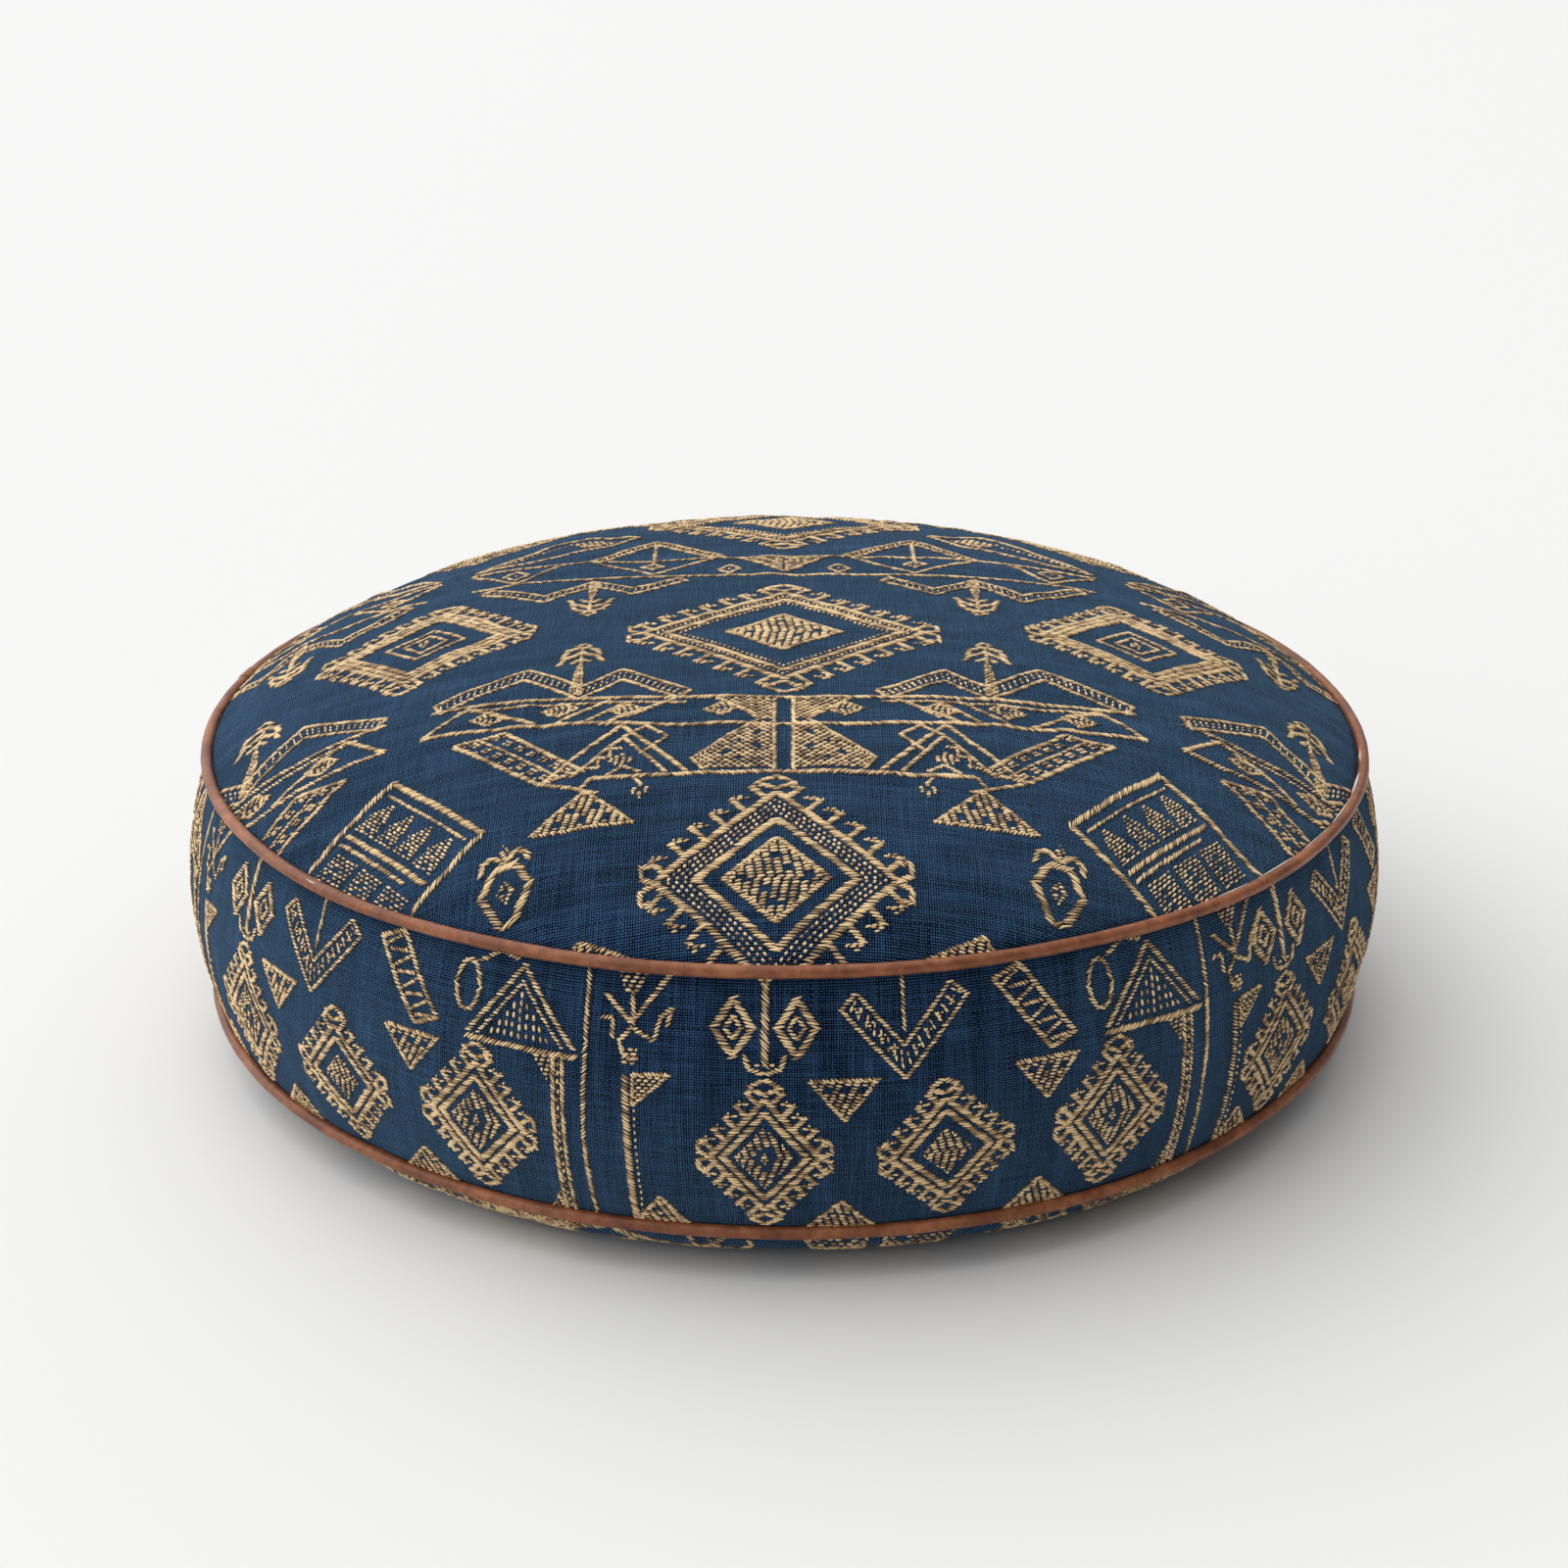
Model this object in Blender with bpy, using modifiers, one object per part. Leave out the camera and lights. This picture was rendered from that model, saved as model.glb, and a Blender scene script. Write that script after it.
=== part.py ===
"""Round boxed floor cushion: two fabric panels and a boxing strip, joined by leather piping,
with a zip across the back of the boxing, round a calico bag of fibre filling.

Metres, +Z up. The origin is the centre of the face that rests on the floor, -Y is the front,
and the zip runs round the back, centred on +Y. Run it with
blender --background --python part.py, or from Blender's text editor.
"""

import math

import bmesh
import bpy
from mathutils import Vector

# Overall form
OVERALL_DIAMETER = 0.750  # across the fullest part of the boxing
TOP_PIPING_INSET = 0.015  # in from there to the centre line of the upper piping
BOTTOM_PIPING_INSET = 0.010
BOTTOM_PIPING_HEIGHT = 0.030
BOXING_HEIGHT = 0.150  # from piping to piping
CROWN_RISE = 0.080  # how far the top domes above the upper piping
CROWN_FLATNESS = 3.0  # powers of the dome's curve: higher is flatter in the middle,
CROWN_SHOULDER = 0.85  # and lower is steeper at the piping
CONTACT_INSET = 0.060  # in from the fullest part to the flat that rests on the floor

# Cover
FABRIC = 0.0015
SEAM_ALLOWANCE = 0.012
PIPING_DIAMETER = 0.007
LEATHER = 0.0009
PIPING_FLANGE_GAP = 0.0004  # between the two plies of leather behind the cord
CORD_CLEARANCE = 0.0004
GAP = 0.0003  # left between pieces that touch

# Zip in the back of the boxing
ZIP_PANEL_ANGLE = 105.0  # degrees of the boxing that the zip panel takes, in whole facets
ZIP_END_ANGLE = 2.5  # degrees from each end of the panel to the end of the coil
TAPE_END_ANGLE = 1.0
ZIP_WINDOW = 0.012  # between the two folded edges
FOLD_ALLOWANCE = 0.010  # the ply turned in behind each folded edge
TAPE_WIDTH = 0.014
TAPE = 0.0006
COIL_WIDTH = 0.0022  # one half of the chain
COIL_DEPTH = 0.0020
COIL_PARTING = 0.0012  # where the two halves mesh, and the slider's post runs
STOP_LENGTH = 0.0015

# Slider and its pull
SLIDER_LENGTH = 0.011
SLIDER_PLATE = 0.0010
SLIDER_WALL = 0.0009
SLIDER_POST = (0.0030, 0.0006)  # along the zip and across it
SLIDER_RUNNING = 0.0004  # clearance all round the coil and the tape
SLIDER_REST_ANGLE = 1.8  # degrees from the coil's end to the slider's middle when closed
BRIDGE_SPAN = 0.0050  # inside the arch that holds the pull
BRIDGE_RISE = 0.0019
BRIDGE_BAR = 0.0008
BRIDGE_WIDTH = 0.0016
PULL_LENGTH = 0.030
PULL_WIDTH = 0.006
PULL = 0.0010
PULL_EYE = (0.0038, 0.0032)  # along the pull and across it
PULL_LIFT = 0.0009  # pull's middle above the slider's plate

# Inner bag
CALICO = 0.0008
BAG_CLEARANCE = 0.003  # to the seam allowances and the zip
FILLING_CLEARANCE = 0.0005

# How finely the turned pieces are faceted
RING_STEPS = 48
ZIP_STEPS = 56
DOME_SEGMENTS = 7
BOXING_SEGMENTS = 4
UNDERSIDE_SEGMENTS = 3
PIPING_SEGMENTS = 6

OVERALL_RADIUS = OVERALL_DIAMETER / 2
TOP_RING = OVERALL_RADIUS - TOP_PIPING_INSET
BOTTOM_RING = OVERALL_RADIUS - BOTTOM_PIPING_INSET
CONTACT_RADIUS = OVERALL_RADIUS - CONTACT_INSET
TOP_SEAM_Z = BOTTOM_PIPING_HEIGHT + BOXING_HEIGHT
PIPING_RADIUS = PIPING_DIAMETER / 2
FLANGE_HALF = PIPING_FLANGE_GAP / 2 + LEATHER
PLY_Z = FLANGE_HALF + GAP  # from a seam's plane to the fabric above or below it
TOP_EDGE = TOP_RING - PIPING_RADIUS - GAP
BOTTOM_EDGE = BOTTOM_RING - PIPING_RADIUS - GAP
ZIP_Z = BOTTOM_PIPING_HEIGHT + BOXING_HEIGHT / 2
FACET = 360.0 / RING_STEPS
FACET_SAG = OVERALL_RADIUS * (1 - math.cos(math.radians(FACET / 2)))
ZIP_PANEL_FACETS = 2 * round(ZIP_PANEL_ANGLE / 2 / FACET)
ZIP_PANEL_SPAN = ZIP_PANEL_FACETS * FACET
ZIP_PANEL_START = 90.0 - ZIP_PANEL_SPAN / 2
SEAM_GAP_ANGLE = math.degrees(2 * GAP / OVERALL_RADIUS)

COLOURS = {
    "indigo_fabric": ((0.020, 0.055, 0.130, 1), 0.90, 0.0),
    "tan_leather": ((0.300, 0.110, 0.060, 1), 0.45, 0.0),
    "cotton_cord": ((0.750, 0.700, 0.600, 1), 0.90, 0.0),
    "calico": ((0.720, 0.660, 0.540, 1), 0.90, 0.0),
    "fibre_filling": ((0.900, 0.890, 0.860, 1), 1.00, 0.0),
    "zip_tape": ((0.015, 0.030, 0.070, 1), 0.85, 0.0),
    "zip_coil": ((0.020, 0.035, 0.080, 1), 0.40, 0.0),
    "zip_brass": ((0.450, 0.300, 0.120, 1), 0.35, 1.0),
}


def clear_scene():
    for obj in list(bpy.data.objects):
        bpy.data.objects.remove(obj, do_unlink=True)


def collection(name):
    made = bpy.data.collections.new(name)
    bpy.context.scene.collection.children.link(made)
    return made


def material(name):
    found = bpy.data.materials.get(name)
    if found:
        return found
    colour, roughness, metallic = COLOURS[name]
    made = bpy.data.materials.new(name)
    made.use_nodes = True
    shader = made.node_tree.nodes["Principled BSDF"]
    shader.inputs["Base Color"].default_value = colour
    shader.inputs["Roughness"].default_value = roughness
    shader.inputs["Metallic"].default_value = metallic
    made.diffuse_color = colour
    return made


def add_object(name, mesh, finish, home):
    obj = bpy.data.objects.new(name, mesh)
    home.objects.link(obj)
    mesh.materials.append(material(finish))
    return obj


# Outlines. Each is a list of (radius, height) down the outer side of a piece.


def boxing_radius(z, inset=0.0):
    """Outer radius of the boxing at a height: straight from seam to seam, plus its bulge."""
    share = (TOP_SEAM_Z - z) / BOXING_HEIGHT
    straight = TOP_EDGE + (BOTTOM_EDGE - TOP_EDGE) * share
    bulge = OVERALL_RADIUS - (TOP_EDGE + BOTTOM_EDGE) / 2
    return straight + bulge * 4 * share * (1 - share) - inset


def boxing_line(z_from, z_to, segments, inset=0.0):
    heights = [z_from + (z_to - z_from) * i / segments for i in range(segments + 1)]
    return [(boxing_radius(z, inset), z) for z in heights]


def dome_line(edge_radius, edge_z, rise, segments):
    """The crowned top from its middle out to its edge, with the points closer at the shoulder."""
    line = []
    for i in range(segments + 1):
        share = math.sin(math.pi / 2 * i / segments)
        height = rise * (1 - share**CROWN_FLATNESS) ** CROWN_SHOULDER
        line.append((edge_radius * share, edge_z + height))
    return line


def underside_line(edge_radius, edge_z, flat_radius, flat_z, segments):
    """A quarter ellipse from the edge down to the flat, and the flat in to the middle."""
    line = []
    for i in range(segments + 1):
        turn = math.pi / 2 * i / segments
        radius = flat_radius + (edge_radius - flat_radius) * math.cos(turn)
        line.append((radius, edge_z - (edge_z - flat_z) * math.sin(turn)))
    return [*line, (0.0, flat_z)]


def turned(name, line, finish, home, steps=RING_STEPS, start=0.0, angle=360.0, wall=0.0, offset=-1.0):
    """Turns an outline about Z. With a wall it is a sheet that thick, measured inwards."""
    mesh = bpy.data.meshes.new(name)
    points = [(radius, 0.0, z) for radius, z in line]
    mesh.from_pydata(points, [(i, i + 1) for i in range(len(points) - 1)], [])
    obj = add_object(name, mesh, finish, home)
    obj.rotation_euler = (0, 0, math.radians(start))
    screw = obj.modifiers.new("Turn", "SCREW")
    screw.axis = "Z"
    screw.angle = math.radians(angle)
    screw.steps = screw.render_steps = steps
    screw.use_merge_vertices = True
    screw.merge_threshold = 1e-5
    screw.use_smooth_shade = True
    if wall:
        shell = obj.modifiers.new("Wall", "SOLIDIFY")
        shell.thickness = wall
        shell.offset = offset
        shell.use_even_offset = True
    return obj


def box(name, low, high, finish, home, parent=None):
    """A block between two corners."""
    mesh = bpy.data.meshes.new(name)
    shape = bmesh.new()
    bmesh.ops.create_cube(shape, size=1.0)
    size = [b - a for a, b in zip(low, high)]
    middle = [(a + b) / 2 for a, b in zip(low, high)]
    bmesh.ops.scale(shape, vec=size, verts=shape.verts)
    bmesh.ops.translate(shape, vec=middle, verts=shape.verts)
    shape.to_mesh(mesh)
    shape.free()
    obj = add_object(name, mesh, finish, home)
    obj.parent = parent
    return obj


def combine(obj, other, operation, helpers):
    """A Boolean of obj with other, which becomes a helper that isn't rendered."""
    for owner in list(other.users_collection):
        owner.objects.unlink(other)
    helpers.objects.link(other)
    other.hide_render = True
    other.display_type = "WIRE"
    change = obj.modifiers.new(f"{operation.title()} {other.name}", "BOOLEAN")
    change.operation = operation
    change.object = other
    change.solver = "EXACT"


# Cover


def top_panel(home):
    """Embroidered disc, crowned, with its seam allowance turned in over the piping's flange."""
    edge_z = TOP_SEAM_Z + PLY_Z
    upright = 2 * FABRIC  # where the cloth stands against the piping
    rise = CROWN_RISE - PLY_Z - upright
    line = dome_line(TOP_EDGE, edge_z + upright, rise, DOME_SEGMENTS)
    line += [(TOP_EDGE, edge_z), (TOP_EDGE - SEAM_ALLOWANCE, edge_z)]
    turned("top_panel", line, "indigo_fabric", home, wall=FABRIC)


def bottom_panel(home):
    edge_z = BOTTOM_PIPING_HEIGHT - PLY_Z
    line = [(BOTTOM_EDGE - SEAM_ALLOWANCE, edge_z)]
    line += underside_line(BOTTOM_EDGE, edge_z, CONTACT_RADIUS, 0.0, UNDERSIDE_SEGMENTS)
    turned("bottom_panel", line, "indigo_fabric", home, wall=FABRIC)


def boxing_front(home):
    """The long strip round the front and sides, seamed to both panels."""
    top_z = TOP_SEAM_Z - PLY_Z
    bottom_z = BOTTOM_PIPING_HEIGHT + PLY_Z
    side = boxing_line(top_z, bottom_z, BOXING_SEGMENTS)
    line = [(side[0][0] - SEAM_ALLOWANCE, top_z), *side, (side[-1][0] - SEAM_ALLOWANCE, bottom_z)]
    steps = RING_STEPS - ZIP_PANEL_FACETS
    start = ZIP_PANEL_START + ZIP_PANEL_SPAN + SEAM_GAP_ANGLE
    angle = 360.0 - ZIP_PANEL_SPAN - 2 * SEAM_GAP_ANGLE
    turned("boxing_front", line, "indigo_fabric", home, steps, start, angle, FABRIC)


def boxing_zip_panels(home):
    """Two strips across the back, each folded in at the zip and sewn to its tape."""
    half = BOXING_SEGMENTS // 2
    fold_depth = 2 * FABRIC + GAP
    for name, seam_z, way in (
        ("boxing_zip_upper", TOP_SEAM_Z - PLY_Z, 1),
        ("boxing_zip_lower", BOTTOM_PIPING_HEIGHT + PLY_Z, -1),
    ):
        fold_z = ZIP_Z + way * ZIP_WINDOW / 2
        turn_in_z = fold_z + way * FOLD_ALLOWANCE
        side = boxing_line(seam_z, fold_z, half)
        turned_in = boxing_line(fold_z, turn_in_z, 1, fold_depth)
        line = [(side[0][0] - SEAM_ALLOWANCE, seam_z), *side, *turned_in]
        if way < 0:
            line.reverse()
        start, angle = ZIP_PANEL_START, ZIP_PANEL_SPAN
        turned(name, line, "indigo_fabric", home, ZIP_PANEL_FACETS, start, angle, FABRIC)


def piping(name, ring, seam_z, home):
    """Leather wrapped round a cord, its two edges lying together inwards as the sewing flange."""
    wall_radius = PIPING_RADIUS - LEATHER / 2
    flange_z = PIPING_FLANGE_GAP / 2 + LEATHER / 2
    closing = math.pi - math.asin(flange_z / wall_radius)
    flange_end = ring - PIPING_RADIUS - GAP - SEAM_ALLOWANCE
    line = [(flange_end, seam_z + flange_z)]
    for i in range(PIPING_SEGMENTS + 1):
        turn = closing - 2 * closing * i / PIPING_SEGMENTS
        line.append((ring + wall_radius * math.cos(turn), seam_z + wall_radius * math.sin(turn)))
    line.append((flange_end, seam_z - flange_z))
    turned(f"{name}_leather", line, "tan_leather", home, wall=LEATHER, offset=0.0)

    inner_flat = (PIPING_RADIUS - LEATHER) * math.cos(closing / PIPING_SEGMENTS)
    bpy.ops.mesh.primitive_torus_add(
        major_radius=ring,
        minor_radius=inner_flat - CORD_CLEARANCE / 2,
        major_segments=RING_STEPS,
        minor_segments=PIPING_SEGMENTS,
        location=(0, 0, seam_z),
    )
    cord = bpy.context.object
    cord.name = cord.data.name = f"{name}_cord"
    cord.data.materials.append(material("cotton_cord"))
    cord.data.shade_smooth()
    for owner in list(cord.users_collection):
        owner.objects.unlink(cord)
    home.objects.link(cord)


# Zip

TAPE_INSET = 2 * FABRIC + 3 * GAP + FACET_SAG  # tape's outer face, behind the folded edges
TAPE_RADIUS = boxing_radius(ZIP_Z, TAPE_INSET)
COIL_INNER = TAPE_RADIUS + GAP
COIL_OUTER = COIL_INNER + COIL_DEPTH
COIL_START = ZIP_PANEL_START + ZIP_END_ANGLE
COIL_ANGLE = ZIP_PANEL_SPAN - 2 * ZIP_END_ANGLE
COIL_EDGE = COIL_PARTING / 2 + COIL_WIDTH
SLIDER_EDGE = COIL_EDGE + SLIDER_RUNNING + SLIDER_WALL
TAPE_FLAT = SLIDER_EDGE + SLIDER_RUNNING  # the tape stays level this far from the zip's middle


def zip_halves(home):
    tape_start = ZIP_PANEL_START + TAPE_END_ANGLE
    tape_angle = ZIP_PANEL_SPAN - 2 * TAPE_END_ANGLE
    for name, way in (("upper", 1), ("lower", -1)):
        near = ZIP_Z + way * COIL_PARTING / 2
        far = near + way * TAPE_WIDTH
        tape = [(TAPE_RADIUS, near), (TAPE_RADIUS, ZIP_Z + way * TAPE_FLAT)]
        tape.append((boxing_radius(far, TAPE_INSET), far))
        coil = [(COIL_OUTER, near), (COIL_OUTER, near + way * COIL_WIDTH)]
        if way > 0:
            tape.reverse()
            coil.reverse()
        turned(f"zip_tape_{name}", tape, "zip_tape", home, ZIP_STEPS, tape_start, tape_angle, TAPE)
        turned(f"zip_coil_{name}", coil, "zip_coil", home, ZIP_STEPS, COIL_START, COIL_ANGLE, COIL_DEPTH)


def station(name, angle):
    """An empty on the cushion's axis, turned so that its X points out through the zip there."""
    empty = bpy.data.objects.new(name, None)
    empty.rotation_euler = (0, 0, math.radians(angle))
    bpy.context.scene.collection.objects.link(empty)
    return empty


def zip_stops(home):
    """A pressed metal stop past each end of the coil."""
    along = STOP_LENGTH / 2
    clear = math.degrees((GAP + along) / COIL_INNER)
    for name, angle in (
        ("zip_stop_closed_end", COIL_START - clear),
        ("zip_stop_open_end", COIL_START + COIL_ANGLE + clear),
    ):
        place = station(f"{name}_place", angle)
        low = (COIL_INNER, -along, ZIP_Z - COIL_EDGE)
        high = (COIL_OUTER, along, ZIP_Z + COIL_EDGE)
        box(name, low, high, "zip_brass", home, place)


SLIDER_ANGLE = COIL_START + SLIDER_REST_ANGLE
PLATE_INNER = COIL_OUTER + SLIDER_RUNNING
PLATE_OUTER = PLATE_INNER + SLIDER_PLATE
BACK_OUTER = TAPE_RADIUS - TAPE - SLIDER_RUNNING
BACK_INNER = BACK_OUTER - SLIDER_PLATE
PULL_RADIUS = PLATE_OUTER + PULL_LIFT


def zip_slider(home, helpers, place):
    """Two plates joined by a post in the parting of the coil, side walls, and the pull's bridge."""
    half = SLIDER_LENGTH / 2
    slider = box(
        "zip_slider",
        (PLATE_INNER, -half, ZIP_Z - SLIDER_EDGE),
        (PLATE_OUTER, half, ZIP_Z + SLIDER_EDGE),
        "zip_brass",
        home,
        place,
    )
    bite = SLIDER_PLATE / 4  # how far joined blocks run into each other
    post_length, post_width = (size / 2 for size in SLIDER_POST)
    blocks = {
        "slider_back": (
            (BACK_INNER, -half, ZIP_Z - SLIDER_EDGE),
            (BACK_OUTER, half, ZIP_Z + SLIDER_EDGE),
        ),
        "slider_post": (
            (BACK_OUTER - bite, -post_length, ZIP_Z - post_width),
            (PLATE_INNER + bite, post_length, ZIP_Z + post_width),
        ),
    }
    for name, way in (("upper", 1), ("lower", -1)):
        faces = sorted((ZIP_Z + way * (SLIDER_EDGE - SLIDER_WALL), ZIP_Z + way * SLIDER_EDGE))
        blocks[f"slider_wall_{name}"] = (
            (TAPE_RADIUS + SLIDER_RUNNING, -half, faces[0]),
            (PLATE_INNER + bite, half, faces[1]),
        )
        faces = sorted((way * BRIDGE_SPAN / 2, way * (BRIDGE_SPAN / 2 + BRIDGE_BAR)))
        blocks[f"slider_bridge_leg_{name}"] = (
            (PLATE_OUTER - bite, faces[0], ZIP_Z - BRIDGE_WIDTH / 2),
            (PLATE_OUTER + BRIDGE_RISE + BRIDGE_BAR, faces[1], ZIP_Z + BRIDGE_WIDTH / 2),
        )
    blocks["slider_bridge_bar"] = (
        (PLATE_OUTER + BRIDGE_RISE, -BRIDGE_SPAN / 2 - bite, ZIP_Z - BRIDGE_WIDTH / 2),
        (PLATE_OUTER + BRIDGE_RISE + BRIDGE_BAR, BRIDGE_SPAN / 2 + bite, ZIP_Z + BRIDGE_WIDTH / 2),
    )
    for name, (low, high) in blocks.items():
        combine(slider, box(name, low, high, "zip_brass", helpers, place), "UNION", helpers)


def zip_pull(home, helpers, place):
    """Flat tab whose end bar turns under the slider's bridge. It lies along the closed coil."""
    bar = PULL / 2
    low = (-bar, -bar, -PULL_WIDTH / 2)
    high = (bar, PULL_LENGTH - bar, PULL_WIDTH / 2)
    pull = box("zip_pull", low, high, "zip_brass", home, place)
    eye_length, eye_width = PULL_EYE
    low = (-PULL, bar, -eye_width / 2)
    high = (PULL, bar + eye_length, eye_width / 2)
    eye = box("pull_eye", low, high, "zip_brass", helpers, place)
    pull.location = eye.location = (PULL_RADIUS, 0, ZIP_Z)
    combine(pull, eye, "DIFFERENCE", helpers)


# Inner bag and filling

BAG_EDGE = min(TOP_EDGE, BOTTOM_EDGE) - SEAM_ALLOWANCE - BAG_CLEARANCE
BAG_TOP_Z = TOP_SEAM_Z
BAG_BOTTOM_Z = BOTTOM_PIPING_HEIGHT
BAG_FULL_RADIUS = BACK_INNER - BAG_CLEARANCE


def bag_outline(inset):
    """Dome, side and underside of the bag, each inset from the bag's own outer face."""
    edge = BAG_EDGE - inset
    top_z = BAG_TOP_Z - inset
    bottom_z = BAG_BOTTOM_Z + inset
    apex = TOP_SEAM_Z + CROWN_RISE - FABRIC - BAG_CLEARANCE - inset
    dome = dome_line(edge, top_z, apex - top_z, DOME_SEGMENTS - 1)
    side = []
    for i in range(BOXING_SEGMENTS + 1):
        share = i / BOXING_SEGMENTS
        bulge = (BAG_FULL_RADIUS - BAG_EDGE) * 4 * share * (1 - share)
        side.append((edge + bulge, top_z + (bottom_z - top_z) * share))
    flat_radius = CONTACT_RADIUS - BAG_CLEARANCE - inset
    flat_z = FABRIC + GAP + inset
    underside = underside_line(edge, bottom_z, flat_radius, flat_z, UNDERSIDE_SEGMENTS)
    return dome, side, underside


def trimmed(line, first, last):
    """The line with its first and last points moved GAP back along it, so that seams don't touch."""
    ends = [Vector(point) for point in line]
    if first:
        ends[0] += (ends[1] - ends[0]).normalized() * GAP
    if last:
        ends[-1] += (ends[-2] - ends[-1]).normalized() * GAP
    return [tuple(point) for point in ends]


def inner_bag(home):
    dome, side, underside = bag_outline(0.0)
    turned("bag_top", trimmed(dome, False, True), "calico", home, wall=CALICO)
    side = trimmed(side, True, True)
    turned("bag_side", side, "calico", home, wall=CALICO)
    turned("bag_bottom", trimmed(underside, True, False), "calico", home, wall=CALICO)


def filling(home):
    dome, side, underside = bag_outline(CALICO + FILLING_CLEARANCE)
    turned("filling", [*dome, *side[1:-1], *underside], "fibre_filling", home)


def main():
    clear_scene()
    home = collection("floor_cushion")
    helpers = collection("helpers")
    top_panel(home)
    bottom_panel(home)
    boxing_front(home)
    boxing_zip_panels(home)
    piping("top_piping", TOP_RING, TOP_SEAM_Z, home)
    piping("bottom_piping", BOTTOM_RING, BOTTOM_PIPING_HEIGHT, home)
    zip_halves(home)
    zip_stops(home)
    place = station("zip_slider_place", SLIDER_ANGLE)
    zip_slider(home, helpers, place)
    zip_pull(home, helpers, place)
    inner_bag(home)
    filling(home)


main()
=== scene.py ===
"""Round boxed floor cushion: embroidered indigo cover, leather piping and a back zip, round its CAD frame."""

import math

import bmesh
import bpy
import numpy as np
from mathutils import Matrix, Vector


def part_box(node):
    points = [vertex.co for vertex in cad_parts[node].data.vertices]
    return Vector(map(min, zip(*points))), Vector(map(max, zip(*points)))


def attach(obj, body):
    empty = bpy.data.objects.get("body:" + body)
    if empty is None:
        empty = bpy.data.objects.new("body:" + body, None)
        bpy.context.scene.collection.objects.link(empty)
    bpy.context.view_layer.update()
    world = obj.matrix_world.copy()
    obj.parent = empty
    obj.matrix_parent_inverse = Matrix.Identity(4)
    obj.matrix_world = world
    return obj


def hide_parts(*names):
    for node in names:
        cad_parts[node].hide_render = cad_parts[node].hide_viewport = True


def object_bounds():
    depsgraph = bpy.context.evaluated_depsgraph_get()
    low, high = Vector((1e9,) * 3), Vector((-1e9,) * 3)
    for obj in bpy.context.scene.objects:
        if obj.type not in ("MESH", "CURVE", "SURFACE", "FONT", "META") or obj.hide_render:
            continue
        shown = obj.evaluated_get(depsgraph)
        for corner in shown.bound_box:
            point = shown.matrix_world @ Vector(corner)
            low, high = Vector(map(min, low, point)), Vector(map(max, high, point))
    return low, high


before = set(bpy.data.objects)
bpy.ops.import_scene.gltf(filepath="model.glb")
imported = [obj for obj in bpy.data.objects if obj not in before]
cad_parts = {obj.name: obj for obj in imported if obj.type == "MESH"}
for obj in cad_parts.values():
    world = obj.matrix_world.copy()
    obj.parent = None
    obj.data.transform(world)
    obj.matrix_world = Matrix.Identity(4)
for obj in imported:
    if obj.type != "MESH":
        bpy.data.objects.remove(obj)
cad_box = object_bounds()
scene = bpy.context.scene

# ---------------------------------------------------------------------------------------------
# Camera
# A short telephoto a little above the cushion's front, looking down at it by about 23 degrees.

CAMERA_BACK = 1.4547
CAMERA_UP = 0.7443
CAMERA_DIP = 22.84

camera_data = bpy.data.cameras.new("camera")
camera_data.lens = 56.25
camera_data.sensor_width = 36.0
camera = bpy.data.objects.new("camera", camera_data)
camera.location = (0.0, -CAMERA_BACK, CAMERA_UP)
camera.rotation_euler = (math.radians(90 - CAMERA_DIP), 0, 0)
scene.collection.objects.link(camera)
scene.camera = camera

# ---------------------------------------------------------------------------------------------
# Studio
# A white paper floor in a pale room that is brightest high on the left, with one wide, soft
# light from that side, as from a large window.

FLOOR_HALF = 20.0
FLOOR_DROP = 0.0006  # keeps the paper just clear of the cushion's underside
WINDOW_SIDE = (-0.66, 0.24, 0.71)  # the way to the bright side of the room
ROOM_GLOW = {"From Min": -0.45, "From Max": 1.0, "To Min": 0.04, "To Max": 1.34}
WINDOW_TOWARD = (0.58, -0.2, -0.79)
WINDOW_SPREAD = 80  # degrees, as wide as the window it comes through
WINDOW_STRENGTH = 1.2


def feed(tree, socket, value):
    """Sets an input, or wires it where the value is another node's output."""
    if isinstance(value, bpy.types.NodeSocket):
        tree.links.new(value, socket)
    else:
        socket.default_value = value


def node(tree, kind, given=None, **settings):
    """A new node with its settings, and its inputs fed by name or by number."""
    made = tree.nodes.new(kind)
    for key, value in settings.items():
        setattr(made, key, value)
    for name, value in (given or {}).items():
        feed(tree, made.inputs[name], value)
    return made


def new_finish(name, given):
    """A new material, its tree and its shader, with the plain values set on the shader."""
    made = bpy.data.materials.new(name)
    made.use_nodes = True
    shader = made.node_tree.nodes["Principled BSDF"]
    for socket, value in given.items():
        shader.inputs[socket].default_value = value
    return made, made.node_tree, shader


floor_mesh = bpy.data.meshes.new("floor")
floor_corners = [
    (x * FLOOR_HALF, y * FLOOR_HALF, -FLOOR_DROP) for x, y in ((-1, -1), (1, -1), (1, 1), (-1, 1))
]
floor_mesh.from_pydata(floor_corners, [], [(0, 1, 2, 3)])
floor = bpy.data.objects.new("floor", floor_mesh)
white_paper = {"Base Color": (0.76, 0.76, 0.755, 1), "Roughness": 0.8}
floor_mesh.materials.append(new_finish("white_paper", white_paper)[0])
scene.collection.objects.link(floor)

room = bpy.data.worlds.new("room")
room.use_nodes = True
air = room.node_tree
sky = node(air, "ShaderNodeTexCoord").outputs["Generated"]
facing = node(air, "ShaderNodeVectorMath", {0: sky, 1: WINDOW_SIDE}, operation="DOT_PRODUCT")
glow = node(
    air, "ShaderNodeMapRange", {
        "Value": facing.outputs["Value"], **ROOM_GLOW
    }, interpolation_type="SMOOTHSTEP"
)
light_of_room = air.nodes["Background"]
light_of_room.inputs["Color"].default_value = (1.0, 1.0, 1.0, 1)
feed(air, light_of_room.inputs["Strength"], glow.outputs["Result"])
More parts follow.
